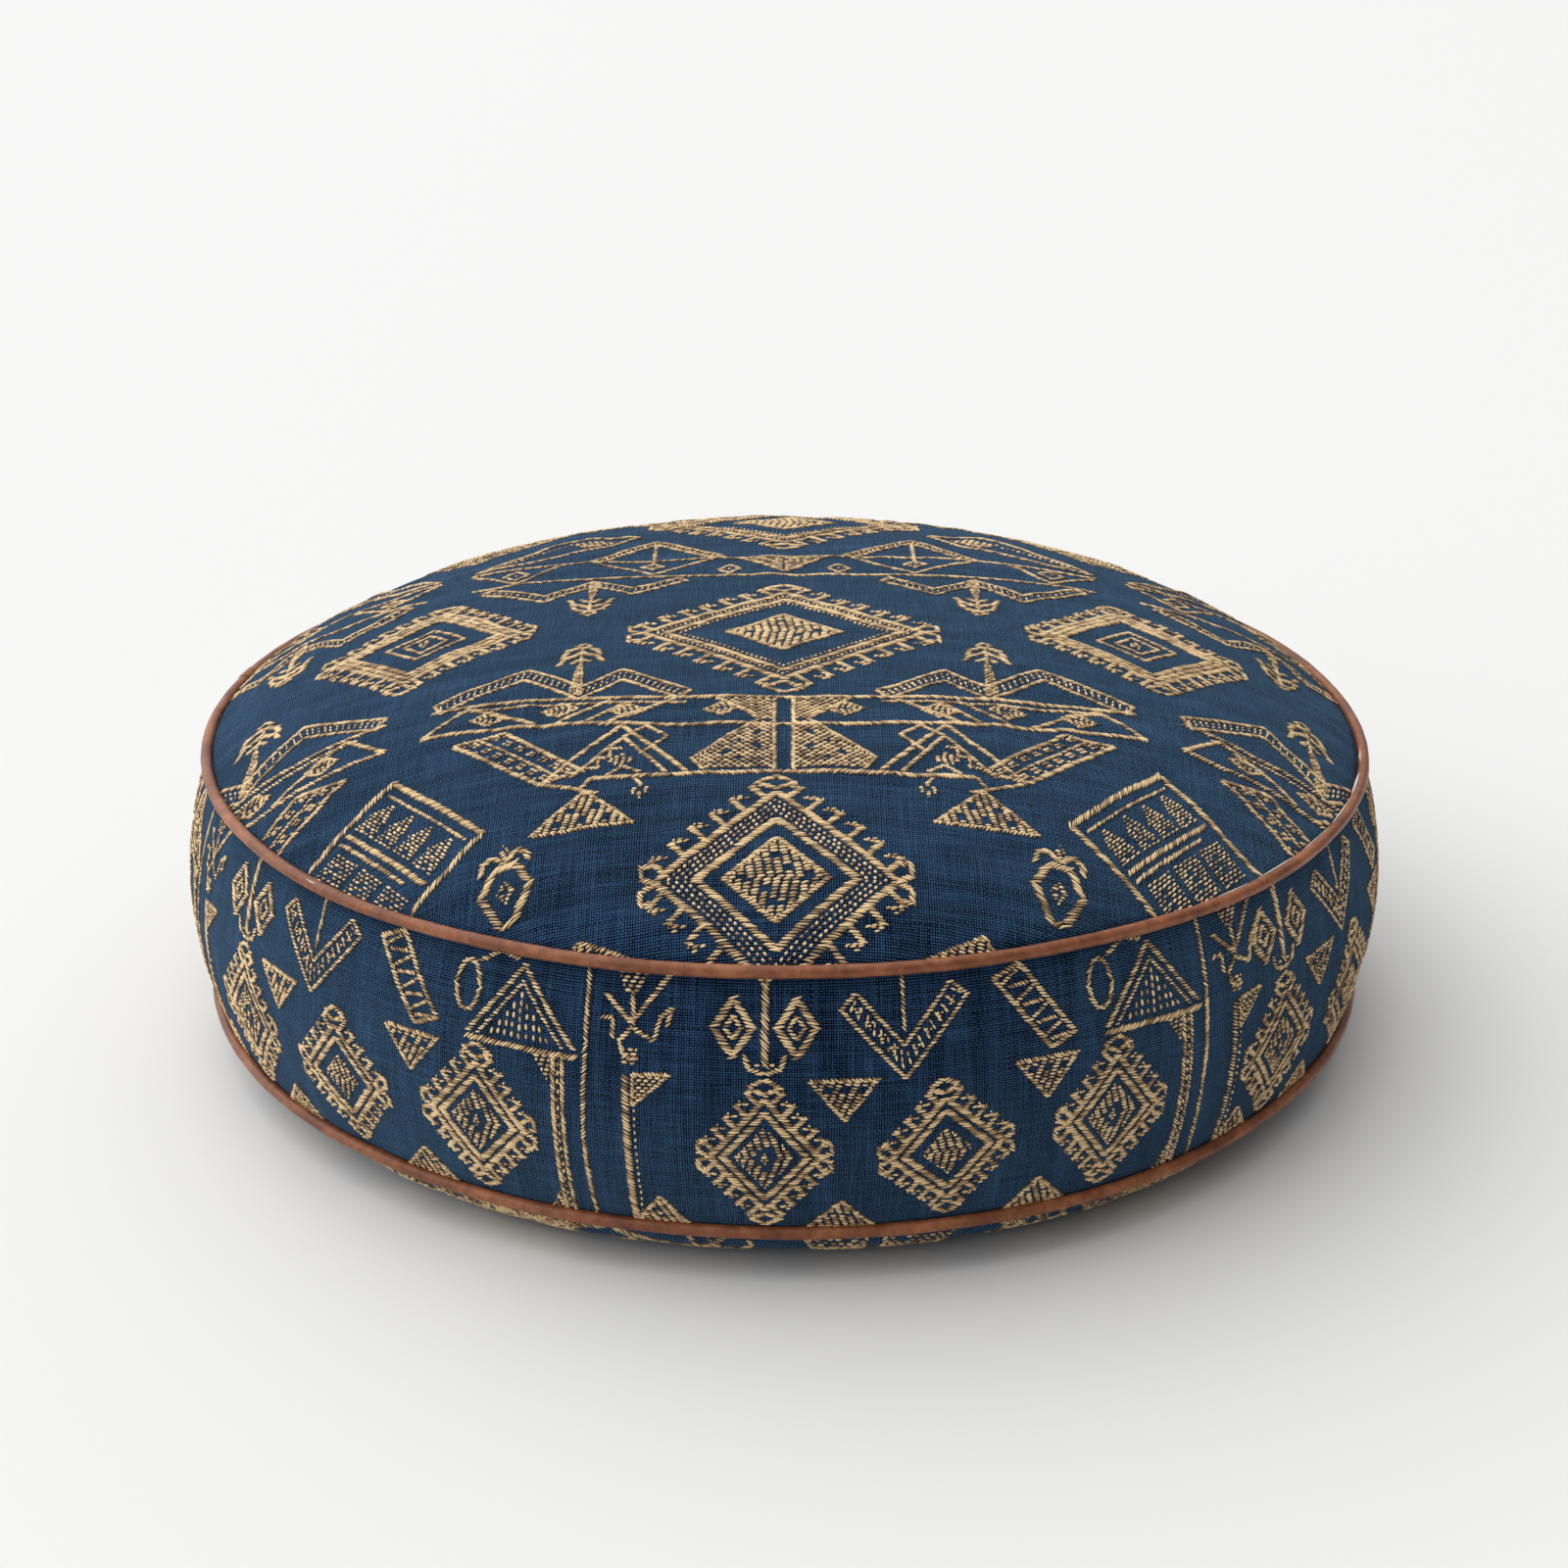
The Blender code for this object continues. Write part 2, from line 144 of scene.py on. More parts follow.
# behind the floor's far edge stands the same white paper
paper_wall = node(air, "ShaderNodeBackground", {"Color": (0.92, 0.92, 0.915, 1)})
seen = node(air, "ShaderNodeLightPath").outputs["Is Camera Ray"]
either = node(
    air, "ShaderNodeMixShader", {"Fac": seen, 1: light_of_room.outputs[0], 2: paper_wall.outputs[0]}
)
feed(air, air.nodes["World Output"].inputs["Surface"], either.outputs[0])
scene.world = room
scene.view_settings.view_transform = "Standard"

window_light = bpy.data.lights.new("window", "SUN")
window_light.angle = math.radians(WINDOW_SPREAD)
window_light.energy = WINDOW_STRENGTH
window = bpy.data.objects.new("window", window_light)
aside, ahead, up = WINDOW_TOWARD
window.rotation_euler = (math.atan2(math.hypot(aside, ahead), -up), 0, math.atan2(ahead, aside) - math.pi / 2)
scene.collection.objects.link(window)

# ---------------------------------------------------------------------------------------------
# Cover cloth
# Three panels of slubbed indigo cotton sewn into a drum and stuffed: a crowned top, the boxing
# round the side and a plain underside. The seams hold still and the cloth swells between them.

AROUND = 240  # points round each seam
SIDE = AROUND // 4
RINGS = SIDE // 2
PIPING_RADIUS = 0.0035
SEAM_TUCK = 0.003  # how far inside the piping's middle the cloth is sewn
CROWN_FLATNESS = 3.0
CROWN_SHOULDER = 0.85
ZIP_FIRST, ZIP_LAST = 37.5, 142.5  # degrees from +X where the zip strips start and end
CLOTH = 0.0013
draw = np.random.default_rng(11)

top_ring_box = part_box("top_piping_leather")
bottom_ring_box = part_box("bottom_piping_leather")
TOP_RING = float(top_ring_box[1][0]) - PIPING_RADIUS
BOTTOM_RING = float(bottom_ring_box[1][0]) - PIPING_RADIUS
TOP_SEAM_Z = float(top_ring_box[0][2] + top_ring_box[1][2]) / 2
BOTTOM_SEAM_Z = float(bottom_ring_box[0][2] + bottom_ring_box[1][2]) / 2
CROWN_Z = float(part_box("top_panel")[1][2])
FULL_RADIUS = float(cad_box[1][0])
FOLD_Z = (float(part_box("boxing_zip_lower")[1][2]), float(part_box("boxing_zip_upper")[0][2]))
CONTACT_RADIUS = FULL_RADIUS - 0.06


def seam_wander(angle, amount, seed):
    """A seam's small wander from a true circle, in radius and in height, at angles in radians."""
    pick = np.random.default_rng(seed)
    radius = height = 0.0 * np.asarray(angle)
    for waves in (2, 3, 5, 8, 13):
        share = amount / waves**0.6
        radius = radius + share * pick.normal() * np.cos(waves * angle + pick.uniform(0, 6.28))
        height = height + share * pick.normal() * np.cos(waves * angle + pick.uniform(0, 6.28))
    return radius, height


def disc_grid(n):
    """A square grid mapped onto a disc: ring share and angle of each point, and its quads."""
    share, angle = np.zeros((n + 1, n + 1)), np.zeros((n + 1, n + 1))
    for i in range(n + 1):
        for j in range(n + 1):
            a, b = 2 * i / n - 1, 2 * j / n - 1
            if abs(a) < 1e-9 and abs(b) < 1e-9:
                continue
            if abs(a) >= abs(b):
                share[i, j], angle[i, j] = abs(a), math.pi / 4 * b / a + (math.pi if a < 0 else 0)
            else:
                share[i, j] = abs(b)
                angle[i, j] = math.pi / 2 - math.pi / 4 * a / b + (math.pi if b < 0 else 0)
    return share, angle


share, angle = disc_grid(SIDE)
edge_of = {}
for i in range(SIDE + 1):
    for j in range(SIDE + 1):
        if i in (0, SIDE) or j in (0, SIDE):
            edge_of[round(math.degrees(angle[i, j]) / (360 / AROUND)) % AROUND] = (i, j)

ring_angles = np.arange(AROUND) * 2 * math.pi / AROUND
top_dr, top_dz = seam_wander(ring_angles, 0.0009, 3)
bottom_dr, bottom_dz = seam_wander(ring_angles, 0.0012, 5)


def at_angle(values, where):
    """A value given round the ring, read at other angles."""
    turn = np.mod(where, 2 * math.pi) / (2 * math.pi) * AROUND
    low = np.floor(turn).astype(int) % AROUND
    part = turn - np.floor(turn)
    return values[low] * (1 - part) + values[(low + 1) % AROUND] * part


points = []
# top
spread = 0.72 * share + 0.28 * np.sin(math.pi / 2 * share)
radius = spread * (TOP_RING - SEAM_TUCK)
lift = (CROWN_Z - TOP_SEAM_Z) * np.power(
    np.maximum(1 - np.power(radius / TOP_RING, CROWN_FLATNESS), 0), CROWN_SHOULDER
)
edge_lift = (CROWN_Z - TOP_SEAM_Z) * (
    1 - ((TOP_RING - SEAM_TUCK) / TOP_RING) ** CROWN_FLATNESS
) ** CROWN_SHOULDER
lift = (lift - edge_lift) * (CROWN_Z - TOP_SEAM_Z) / (CROWN_Z - TOP_SEAM_Z - edge_lift)
near = share**6
radius = radius + near * at_angle(top_dr, angle)
height = TOP_SEAM_Z + lift + near * at_angle(top_dz, angle)
top_index = np.arange((SIDE + 1) ** 2).reshape(SIDE + 1, SIDE + 1)
points.append(np.stack([radius * np.cos(angle), radius * np.sin(angle), height], -1).reshape(-1, 3))
# boxing
rows_upper = np.linspace(TOP_SEAM_Z, FOLD_Z[1], 8)[1:]
rows_lower = np.linspace(FOLD_Z[0], BOTTOM_SEAM_Z, 8)[:-1]
rows = np.concatenate([rows_upper, [(FOLD_Z[0] + FOLD_Z[1]) / 2], rows_lower])
down = (TOP_SEAM_Z - rows) / (TOP_SEAM_Z - BOTTOM_SEAM_Z)
straight = TOP_RING - SEAM_TUCK + (BOTTOM_RING - TOP_RING) * down
bulge = FULL_RADIUS - (TOP_RING + BOTTOM_RING) / 2 + SEAM_TUCK
side_radius = (straight + bulge * 4 * down * (1 - down))[:, None] + (
    top_dr * (1 - down[:, None]) ** 4 + bottom_dr * down[:, None] ** 4
)
side_height = rows[:, None] + top_dz * (1 - down[:, None]) + bottom_dz * down[:, None]
side_index = len(points[0]) + np.arange(len(rows) * AROUND).reshape(len(rows), AROUND)
points.append(
    np.stack(
        [side_radius * np.cos(ring_angles), side_radius * np.sin(ring_angles), side_height], -1
    ).reshape(-1, 3)
)
# underside
spread = 0.62 * share + 0.38 * np.sin(math.pi / 2 * share)
edge_radius = BOTTOM_RING - SEAM_TUCK
radius = spread * edge_radius
out = np.clip((radius - CONTACT_RADIUS) / (edge_radius - CONTACT_RADIUS), 0, 1)
height = BOTTOM_SEAM_Z * (1 - np.power(np.maximum(1 - out**2.0, 0), 1 / 1.9))
near = share**6
radius = radius + near * at_angle(bottom_dr, angle)
height = height + near * out * at_angle(bottom_dz, angle)
under_index = side_index.max() + 1 + np.arange((SIDE + 1) ** 2).reshape(SIDE + 1, SIDE + 1)
points.append(np.stack([radius * np.cos(angle), radius * np.sin(angle), height], -1).reshape(-1, 3))
shape = np.concatenate(points)

ZIP_STEPS = range(round(ZIP_FIRST / 360 * AROUND), round(ZIP_LAST / 360 * AROUND))
quads = {"top": [], "boxing": [], "zip_upper": [], "window": [], "zip_lower": [], "under": []}
for i in range(SIDE):
    for j in range(SIDE):
        a, b, c, d = top_index[i, j], top_index[i + 1, j], top_index[i + 1, j + 1], top_index[i, j + 1]
        quads["top"].append((a, b, c, d))
        a, b, c, d = under_index[i, j], under_index[i, j + 1], under_index[i + 1, j + 1], under_index[i + 1, j]
        quads["under"].append((a, b, c, d))
top_edge = [top_index[edge_of[k]] for k in range(AROUND)]
under_edge = [under_index[edge_of[k]] for k in range(AROUND)]
loops = [top_edge, *[list(row) for row in side_index], under_edge]
for row in range(len(loops) - 1):
    for k in range(AROUND):
        n = (k + 1) % AROUND
        quad = (loops[row][k], loops[row + 1][k], loops[row + 1][n], loops[row][n])
        if k not in ZIP_STEPS:
            group = "boxing"
        elif row < 7:
            group = "zip_upper"
        elif row < 9:
            # the boxing's ends are sewn down over the ends of the tapes
            group = "boxing" if k in (ZIP_STEPS[0], ZIP_STEPS[-1]) else "window"
        else:
            group = "zip_lower"
        quads[group].append(quad)


def vectors_of(rows, field):
    """A mesh's points or normals as an array, a row for each."""
    values = np.empty(len(rows) * 3, np.float32)
    rows.foreach_get(field, values)
    return values.reshape(-1, 3).astype(float)


drum = bpy.data.meshes.new("drum")
drum.from_pydata(shape.tolist(), [], [q for group in quads.values() for q in group])
drum_object = bpy.data.objects.new("drum", drum)
scene.collection.objects.link(drum_object)

seam_points = set(top_edge) | set(under_edge)
zip_points = {loops[row][k] for row in (7, 8, 9) for k in [*ZIP_STEPS, ZIP_STEPS.stop]}
floor_points = {
    int(under_index[i, j]) for i in range(SIDE + 1) for j in range(SIDE + 1) if out[i, j] <= 0.0
}
settled = shape.copy()
SETTLE_FRAMES = 14
STUFFING_PRESSURE = 0.05
STUFFING_STRETCH = -0.004
START_UNEVEN = 0.0004
start = shape + draw.normal(0, START_UNEVEN, shape.shape)
held = drum_object.vertex_groups.new(name="held")
held.add([int(p) for p in seam_points | zip_points | floor_points], 1.0, "REPLACE")
for p in seam_points | zip_points | floor_points:
    start[p] = shape[p]
drum.vertices.foreach_set("co", start.ravel())
cloth = drum_object.modifiers.new("Stuffed", "CLOTH")
cotton_cloth = cloth.settings
cotton_cloth.quality = 5
cotton_cloth.mass = 0.3
cotton_cloth.tension_stiffness = cotton_cloth.compression_stiffness = 25
cotton_cloth.shear_stiffness = 8
cotton_cloth.bending_stiffness = 0.4
cotton_cloth.vertex_group_mass = "held"
cotton_cloth.shrink_min = cotton_cloth.shrink_max = STUFFING_STRETCH
cotton_cloth.use_pressure = True
cotton_cloth.uniform_pressure_force = STUFFING_PRESSURE
cotton_cloth.effector_weights.gravity = 0.0
cloth.collision_settings.use_collision = False
cloth.point_cache.frame_start = scene.frame_start = 1
cloth.point_cache.frame_end = scene.frame_end = SETTLE_FRAMES
for step in range(1, SETTLE_FRAMES + 1):
    scene.frame_set(step)
posed = drum_object.evaluated_get(bpy.context.evaluated_depsgraph_get())
settled = vectors_of(posed.data.vertices, "co")
drum_object.modifiers.remove(cloth)
scene.frame_set(1)

# The cloth keeps the creases and puckers it found; the drum's own form is as it was cut.
PUCKER_CAP = 0.0032
PUCKER_SHARE = (2.2, 0.35, 1.0)  # of what the simulation found: on the top, round the side, below
drum.vertices.foreach_set("co", shape.ravel())
drum.update()
outward = vectors_of(drum.vertex_normals, "vector")
swell = ((settled - shape) * outward).sum(1)
ring_number = np.concatenate(
    [
        np.round(share * RINGS).astype(int).ravel(),
        100 + np.repeat(np.arange(len(rows)), AROUND),
        200 + np.round(share * RINGS).astype(int).ravel(),
    ]
)
for ring in np.unique(ring_number):
    chosen = ring_number == ring
    swell[chosen] -= swell[chosen].mean()
gain = np.repeat(PUCKER_SHARE, [top_index.size, side_index.size, under_index.size])
pucker = PUCKER_CAP * np.tanh(gain * swell / PUCKER_CAP)
pucker[list(floor_points)] = 0.0
GATHER_DEEP = 0.0011  # where the stitching draws the cloth up along the seams
gathers = np.random.default_rng(41)


def gathered(angle):
    """Small folds at right angles to a seam, some deep and some hardly there."""
    waves = sum(gathers.normal() * np.cos(n * angle + gathers.uniform(0, 6.28)) for n in range(34, 100, 4))
    patchy = 0.6 + 0.4 * sum(np.cos(n * angle + gathers.uniform(0, 6.28)) for n in (3, 7)) / 2
    return waves / 2.9 * patchy


side_down = np.repeat(down, AROUND)
side_round = np.tile(ring_angles, len(rows))
seam_gap = (TOP_SEAM_Z - BOTTOM_SEAM_Z) * np.stack([side_down, 1 - side_down])
folds = gathered(side_round) * np.exp(-seam_gap[0] / 0.024) + gathered(side_round) * np.exp(-seam_gap[1] / 0.024)
side_folds = GATHER_DEEP * folds * np.minimum(1, np.minimum(*seam_gap) / 0.006)
edge_gap = (TOP_RING - SEAM_TUCK) * (1 - share.ravel())
top_folds = GATHER_DEEP * gathered(angle.ravel()) * np.exp(-edge_gap / 0.022) * np.minimum(1, edge_gap / 0.006)
pucker = pucker + np.concatenate([top_folds, side_folds, 0 * top_folds])
sewn = shape + outward * pucker[:, None]
sewn[:, 2] = np.maximum(sewn[:, 2], 0.0)
bpy.data.objects.remove(drum_object, do_unlink=True)

FRONT = -90.0  # degrees from +X to the middle of the front
ROUND = FULL_RADIUS  # a degree round the boxing is a degree of this radius on the flat pattern


def flat_round(k):
    """Where a step round the ring lies along the flat pattern, from the middle of the front."""
    degrees = (k * 360 / AROUND - FRONT + 180) % 360 - 180
    return math.radians(degrees) * ROUND


def cloth_panel(name, corners, chosen, flat):
    """One panel as a single layer of cloth, with the flat pattern it was cut to as its UV map."""
    used = sorted({p for quad in chosen for p in quad})
    place = {p: n for n, p in enumerate(used)}
    mesh = bpy.data.meshes.new(name)
    mesh.from_pydata([corners[p] for p in used], [], [[place[p] for p in quad] for quad in chosen])
    layer = mesh.uv_layers.new(name="UVMap")
    values = np.array([xy for quad in flat for xy in quad], np.float32)
    layer.data.foreach_set("uv", values.ravel())
    mesh.shade_smooth()
    made = bpy.data.objects.new(name, mesh)
    scene.collection.objects.link(made)
    return made


def made_plain(obj):
    """The object with its modifiers worked into its mesh."""
    graph = bpy.context.evaluated_depsgraph_get()
    mesh = bpy.data.meshes.new_from_object(obj.evaluated_get(graph))
    obj.modifiers.clear()
    old = obj.data
    obj.data = mesh
    mesh.name = obj.name
    bpy.data.meshes.remove(old)
    return obj


def finer(obj):
    smooth = obj.modifiers.new("Finer", "SUBSURF")
    smooth.levels = smooth.render_levels = 1
    return made_plain(obj)


def walled(obj, thickness):
    wall = obj.modifiers.new("Wall", "SOLIDIFY")
    wall.thickness = thickness
    wall.offset = -1.0
    wall.use_even_offset = False
    return made_plain(obj)


corners = {n: tuple(p) for n, p in enumerate(sewn)}
top_flat = [[tuple(shape[p][:2]) for p in quad] for quad in quads["top"]]
top_cloth = finer(cloth_panel("top_panel_cloth", corners, quads["top"], top_flat))
under_flat = [[tuple(shape[p][:2]) for p in quad] for quad in quads["under"]]
under_cloth = finer(cloth_panel("underside_cloth", corners, quads["under"], under_flat))

level_of = {int(p): row for row, loop in enumerate(loops) for p in loop}
step_of = {int(p): k for loop in loops for k, p in enumerate(loop)}
LEVELS = [TOP_SEAM_Z, *rows, BOTTOM_SEAM_Z]


def boxing_flat(chosen):
    """Distance from the middle of the front and height above the lower seam for each corner."""
    flat = []
    for quad in chosen:
        first = step_of[int(quad[0])]
        start = flat_round(first)
        row = []
        for p in quad:
            ahead = (step_of[int(p)] - first) % AROUND
            row.append(
                (start + math.radians(ahead * 360 / AROUND) * ROUND, LEVELS[level_of[int(p)]] - BOTTOM_SEAM_Z)
            )
        flat.append(row)
    return flat


boxing_cloth = finer(cloth_panel("boxing_cloth", corners, quads["boxing"], boxing_flat(quads["boxing"])))
FOLD = [(0.0008, -0.0009), (0.0021, -0.001), (0.003, 0.0002), (0.0032, 0.004), (0.0032, 0.0095)]


def folded_strip(name, chosen, fold_row, way):
    """A zip strip, with its edge at the zip rolled under and turned in behind."""
    places = dict(corners)
    flat = boxing_flat(chosen)
    chosen = list(chosen)
    steps = [*ZIP_STEPS, ZIP_STEPS.stop]
    last = {k: int(loops[fold_row][k]) for k in steps}
    base = dict(last)
    for depth, (inward, along) in enumerate(FOLD):
        fresh = {}
        for k in steps:
            x, y, z = places[base[k]]
            reach = math.hypot(x, y)
            number = 10**6 * (depth + 1) + base[k]
            scale = (reach - inward) / reach
            places[number] = (x * scale, y * scale, z + way * along)
            fresh[k] = number
        for k in ZIP_STEPS:
            quad = (last[k], fresh[k], fresh[k + 1], last[k + 1])
            if way < 0:
                quad = quad[::-1]
            chosen.append(quad)
            flat.append([(0, -1)] * 4)
        last = fresh
    return finer(cloth_panel(name, places, chosen, flat))


zip_upper_cloth = folded_strip("zip_upper_cloth", quads["zip_upper"], 7, 1)
zip_lower_cloth = folded_strip("zip_lower_cloth", quads["zip_lower"], 9, -1)

# Indigo cotton, plain weave: slubby yarn that took the dye unevenly, with a painted highlight on the thread
# crowns. The weave follows the flat pattern, so it turns with the cloth.

WEAVE_PITCH = 0.00135
YARN_ALONG, YARN_ACROSS = 28, 620  # how fast the shade changes along a thread and across threads
PATCH_SHARE = 0.5  # how much the uneven dye counts
CROWN_HIGHLIGHT_SHARE = 0.46  # how much the painted highlight on the thread crowns counts
CROWN_HIGH = 0.001


def sums(tree, operation, *values):
    """A Math node worked on outputs or plain numbers."""
    return node(tree, "ShaderNodeMath", dict(enumerate(values)), operation=operation).outputs[0]


def noise(tree, vector, scale, detail, roughness=0.5):
    given = {"Vector": vector, "Scale": scale, "Detail": detail, "Roughness": roughness}
    return node(tree, "ShaderNodeTexNoise", given).outputs[0]


def mixed(tree, share, one, other):
    return node(tree, "ShaderNodeMix", {0: share, 2: one, 3: other}, data_type="FLOAT").outputs[0]


def coloured(tree, shader, source, darkest, palest, *between):
    """Colours the shader by a value, through (place, colour) stops."""
    ramp = node(tree, "ShaderNodeValToRGB", {0: source})
    stops = ramp.color_ramp.elements
    for stop, (place, colour) in ((stops[0], darkest), (stops[1], palest)):
        stop.position, stop.color = place, (*colour, 1)
    for place, colour in between:
        stops.new(place).color = (*colour, 1)
    feed(tree, shader.inputs["Base Color"], ramp.outputs[0])


def raised(tree, shader, height, strength, distance):
    """Raises the surface by a value, in metres at its highest."""
    bump = node(tree, "ShaderNodeBump", {"Strength": strength, "Distance": distance, "Height": height})
    feed(tree, shader.inputs["Normal"], bump.outputs[0])
    return bump


def indigo_cotton(name, slubs):
    """The cloth's finish, its slubs stretched the way they run on that panel's flat pattern."""
    plain = {"Roughness": 0.88, "Specular IOR Level": 0.05, "Sheen Weight": 0.36, "Sheen Roughness": 0.22}
    made, tree, shader = new_finish(name, {**plain, "Sheen Tint": (0.38, 0.7, 1.0, 1)})
    flat = node(tree, "ShaderNodeUVMap", uv_map="UVMap").outputs[0]

    def streaks(along, across, detail, roughness, shift=(0, 0, 0)):
        stretched = node(tree, "ShaderNodeMapping", {0: flat, "Location": shift, "Scale": (along, across, 1)})
        return noise(tree, stretched.outputs[0], 1.0, detail, roughness)

    weft = streaks(YARN_ALONG, YARN_ACROSS, 3.0, 0.6)
    warp = streaks(YARN_ACROSS, YARN_ALONG, 3.0, 0.6, (3.7, 1.9, 0))
    dye = streaks(*slubs, 5.0, 0.62)
    # thread crowns: sine across warp times sine across weft
    split = node(tree, "ShaderNodeSeparateXYZ", {0: flat}).outputs
    turns = [sums(tree, "MULTIPLY", split[axis], math.pi / WEAVE_PITCH) for axis in (0, 1)]
    crown = sums(tree, "MULTIPLY", *[sums(tree, "SINE", turn) for turn in turns])
    over = sums(tree, "ABSOLUTE", crown)
    # the weft shows where the crown is up, the warp where it is down
    thread = mixed(tree, sums(tree, "GREATER_THAN", crown, 0.0), warp, weft)
    # painted highlight: the base colour is paler on the thread crowns, where the weave rises
    shade = sums(tree, "MULTIPLY_ADD", over, CROWN_HIGHLIGHT_SHARE, thread)
    shade = sums(tree, "MULTIPLY_ADD", dye, PATCH_SHARE, shade)
    coloured(
        tree,
        shader,
        shade,
        (0.62, (0.0002, 0.0008, 0.004)),
        (1.0, (0.04, 0.102, 0.22)),
        (0.88, (0.0004, 0.0022, 0.0085)),
        (0.96, (0.003, 0.013, 0.042)),
    )
    raised(tree, shader, sums(tree, "MULTIPLY_ADD", over, 0.8, thread), 1.0, CROWN_HIGH)
    return made


level_slubs = indigo_cotton("indigo_cotton", (7, 75))
upright_slubs = indigo_cotton("indigo_cotton_boxing", (75, 7))
for panel in (top_cloth, under_cloth, boxing_cloth, zip_upper_cloth, zip_lower_cloth):
    panel.data.materials.clear()
    panel.data.materials.append(level_slubs if panel in (top_cloth, under_cloth) else upright_slubs)

# ---------------------------------------------------------------------------------------------
# Embroidery
# Gold cotton yarn laid through the indigo cloth by hand. Lines are short slanted stitches packed
# side by side like a cord, and solid shapes are rows of longer stitches with the cloth showing
# between them. Every stitch is drawn on the flat pattern first.

STITCH_PITCH = 0.0021  # along a line
STITCH_SLANT = 42.0  # degrees between a line's stitches and the line
STITCH_WIDE = 0.00136
ROW_PITCH = 0.0019  # between rows in a solid shape
FINEST_ROW = 0.0017
ROW_SLANT = 7.0  # degrees
ROW_FULL = 0.8  # of the space between rows, the rest showing the cloth
SHORTEST = 0.0011
needle = np.random.default_rng(23)


def path_points(points, pitch, closed=False):
    """Evenly spaced places along a path, with the way the path runs at each."""
    line = np.array([*points, points[0]] if closed else points, float)
    step = np.hypot(*np.diff(line, axis=0).T)
    line = line[np.concatenate([[True], step > 1e-9])]
    step = step[step > 1e-9]
    along = np.concatenate([[0], np.cumsum(step)])
    count = max(1, round(along[-1] / pitch))
    at = (np.arange(count) + 0.5) * along[-1] / count
    piece = np.clip(np.searchsorted(along, at, side="right") - 1, 0, len(step) - 1)
    way = np.diff(line, axis=0)[piece] / step[piece][:, None]
    return line[piece] + way * (at - along[piece])[:, None], way


def bars(middle, way, turn, length, wide):
    """Stitches centred on places, each turned from the way its line runs."""
    turn = np.radians(turn) + needle.normal(0, 0.07, len(middle))
    c, s = np.cos(turn), np.sin(turn)
    across = np.stack([way[:, 0] * c - way[:, 1] * s, way[:, 0] * s + way[:, 1] * c], -1)
    half = (length / 2 * needle.uniform(0.9, 1.1, len(middle)))[:, None] * across
    middle = middle + needle.normal(0, 0.00015, middle.shape)
    width = wide * needle.uniform(0.88, 1.12, len(middle))
    return np.concatenate([middle - half, middle + half, width[:, None]], 1)


def cord_line(points, wide=0.003, closed=False, slant=STITCH_SLANT):
    """A line of slanted stitches, leaning so that they come as near level as they can."""
    middle, way = path_points(points, STITCH_PITCH, closed)
    lean = np.where(way[:, 0] * way[:, 1] > 0, -slant, slant)
    return bars(middle, way, lean, 1.06 * wide / math.sin(math.radians(slant)), STITCH_WIDE)


def running(points, length=0.0026, space=0.0014, closed=False, wide=0.0014):
    """A dotted line of single stitches that lie along it."""
    middle, way = path_points(points, length + space, closed)
    return bars(middle, way, 4.0, length, wide)


def solid(points, pitch=ROW_PITCH, length=0.0036, space=0.0008, holes=()):
    """A shape filled with rows of stitches, each row shifted by half a stitch."""
    pitch = max(pitch, FINEST_ROW)
    found = []
    outline = np.array(points, float)
    low, high = outline[:, 1].min(), outline[:, 1].max()
    rows_up = np.arange(low + pitch / 2, high, pitch)
    for number, v in enumerate(rows_up):
        spans = crossings(outline, v)
        for start, end in spans:
            at = start + (0.5 * (length + space) if number % 2 else 0.0) - length - space
            while at < end:
                a, b = max(at, start), min(at + length, end)
                at += length + space
                if b - a < SHORTEST:
                    continue
                middle = (a + b) / 2
                if any(inside(hole, middle, v) for hole in holes):
                    continue
                found.append((middle, v, b - a))
    if not found:
        return np.zeros((0, 5))
    found = np.array(found)
    way = np.tile([1.0, 0.0], (len(found), 1))
    return bars(found[:, :2], way, ROW_SLANT, found[:, 2], ROW_FULL * pitch)


def crossings(outline, v):
    """The stretches of a level line that lie inside a shape."""
    at = []
    for a, b in zip(outline, np.roll(outline, -1, axis=0)):
        if (a[1] > v) != (b[1] > v):
            at.append(a[0] + (v - a[1]) * (b[0] - a[0]) / (b[1] - a[1]))
    at.sort()
    return list(zip(at[::2], at[1::2]))


def inside(outline, u, v):
    return any(a <= u <= b for a, b in crossings(np.array(outline, float), v))


def moved(stitches, at=(0, 0), turn=0.0, flip=False, upset=False, scale=1.0):
    """A motif's stitches where they belong: scaled, mirrored, turned in degrees and carried there."""
    made = np.concatenate(stitches) if isinstance(stitches, list) else stitches.copy()
    for first in (0, 2):
        u, v = made[:, first] * scale, made[:, first + 1] * scale
        if flip:
            u = -u
        if upset:
            v = -v
        c, s = math.cos(math.radians(turn)), math.sin(math.radians(turn))
        made[:, first] = u * c - v * s + at[0]
        made[:, first + 1] = u * s + v * c + at[1]
    return made


def lozenge(half_u, half_v, u=0.0, v=0.0):
    return [(u - half_u, v), (u, v + half_v), (u + half_u, v), (u, v - half_v)]


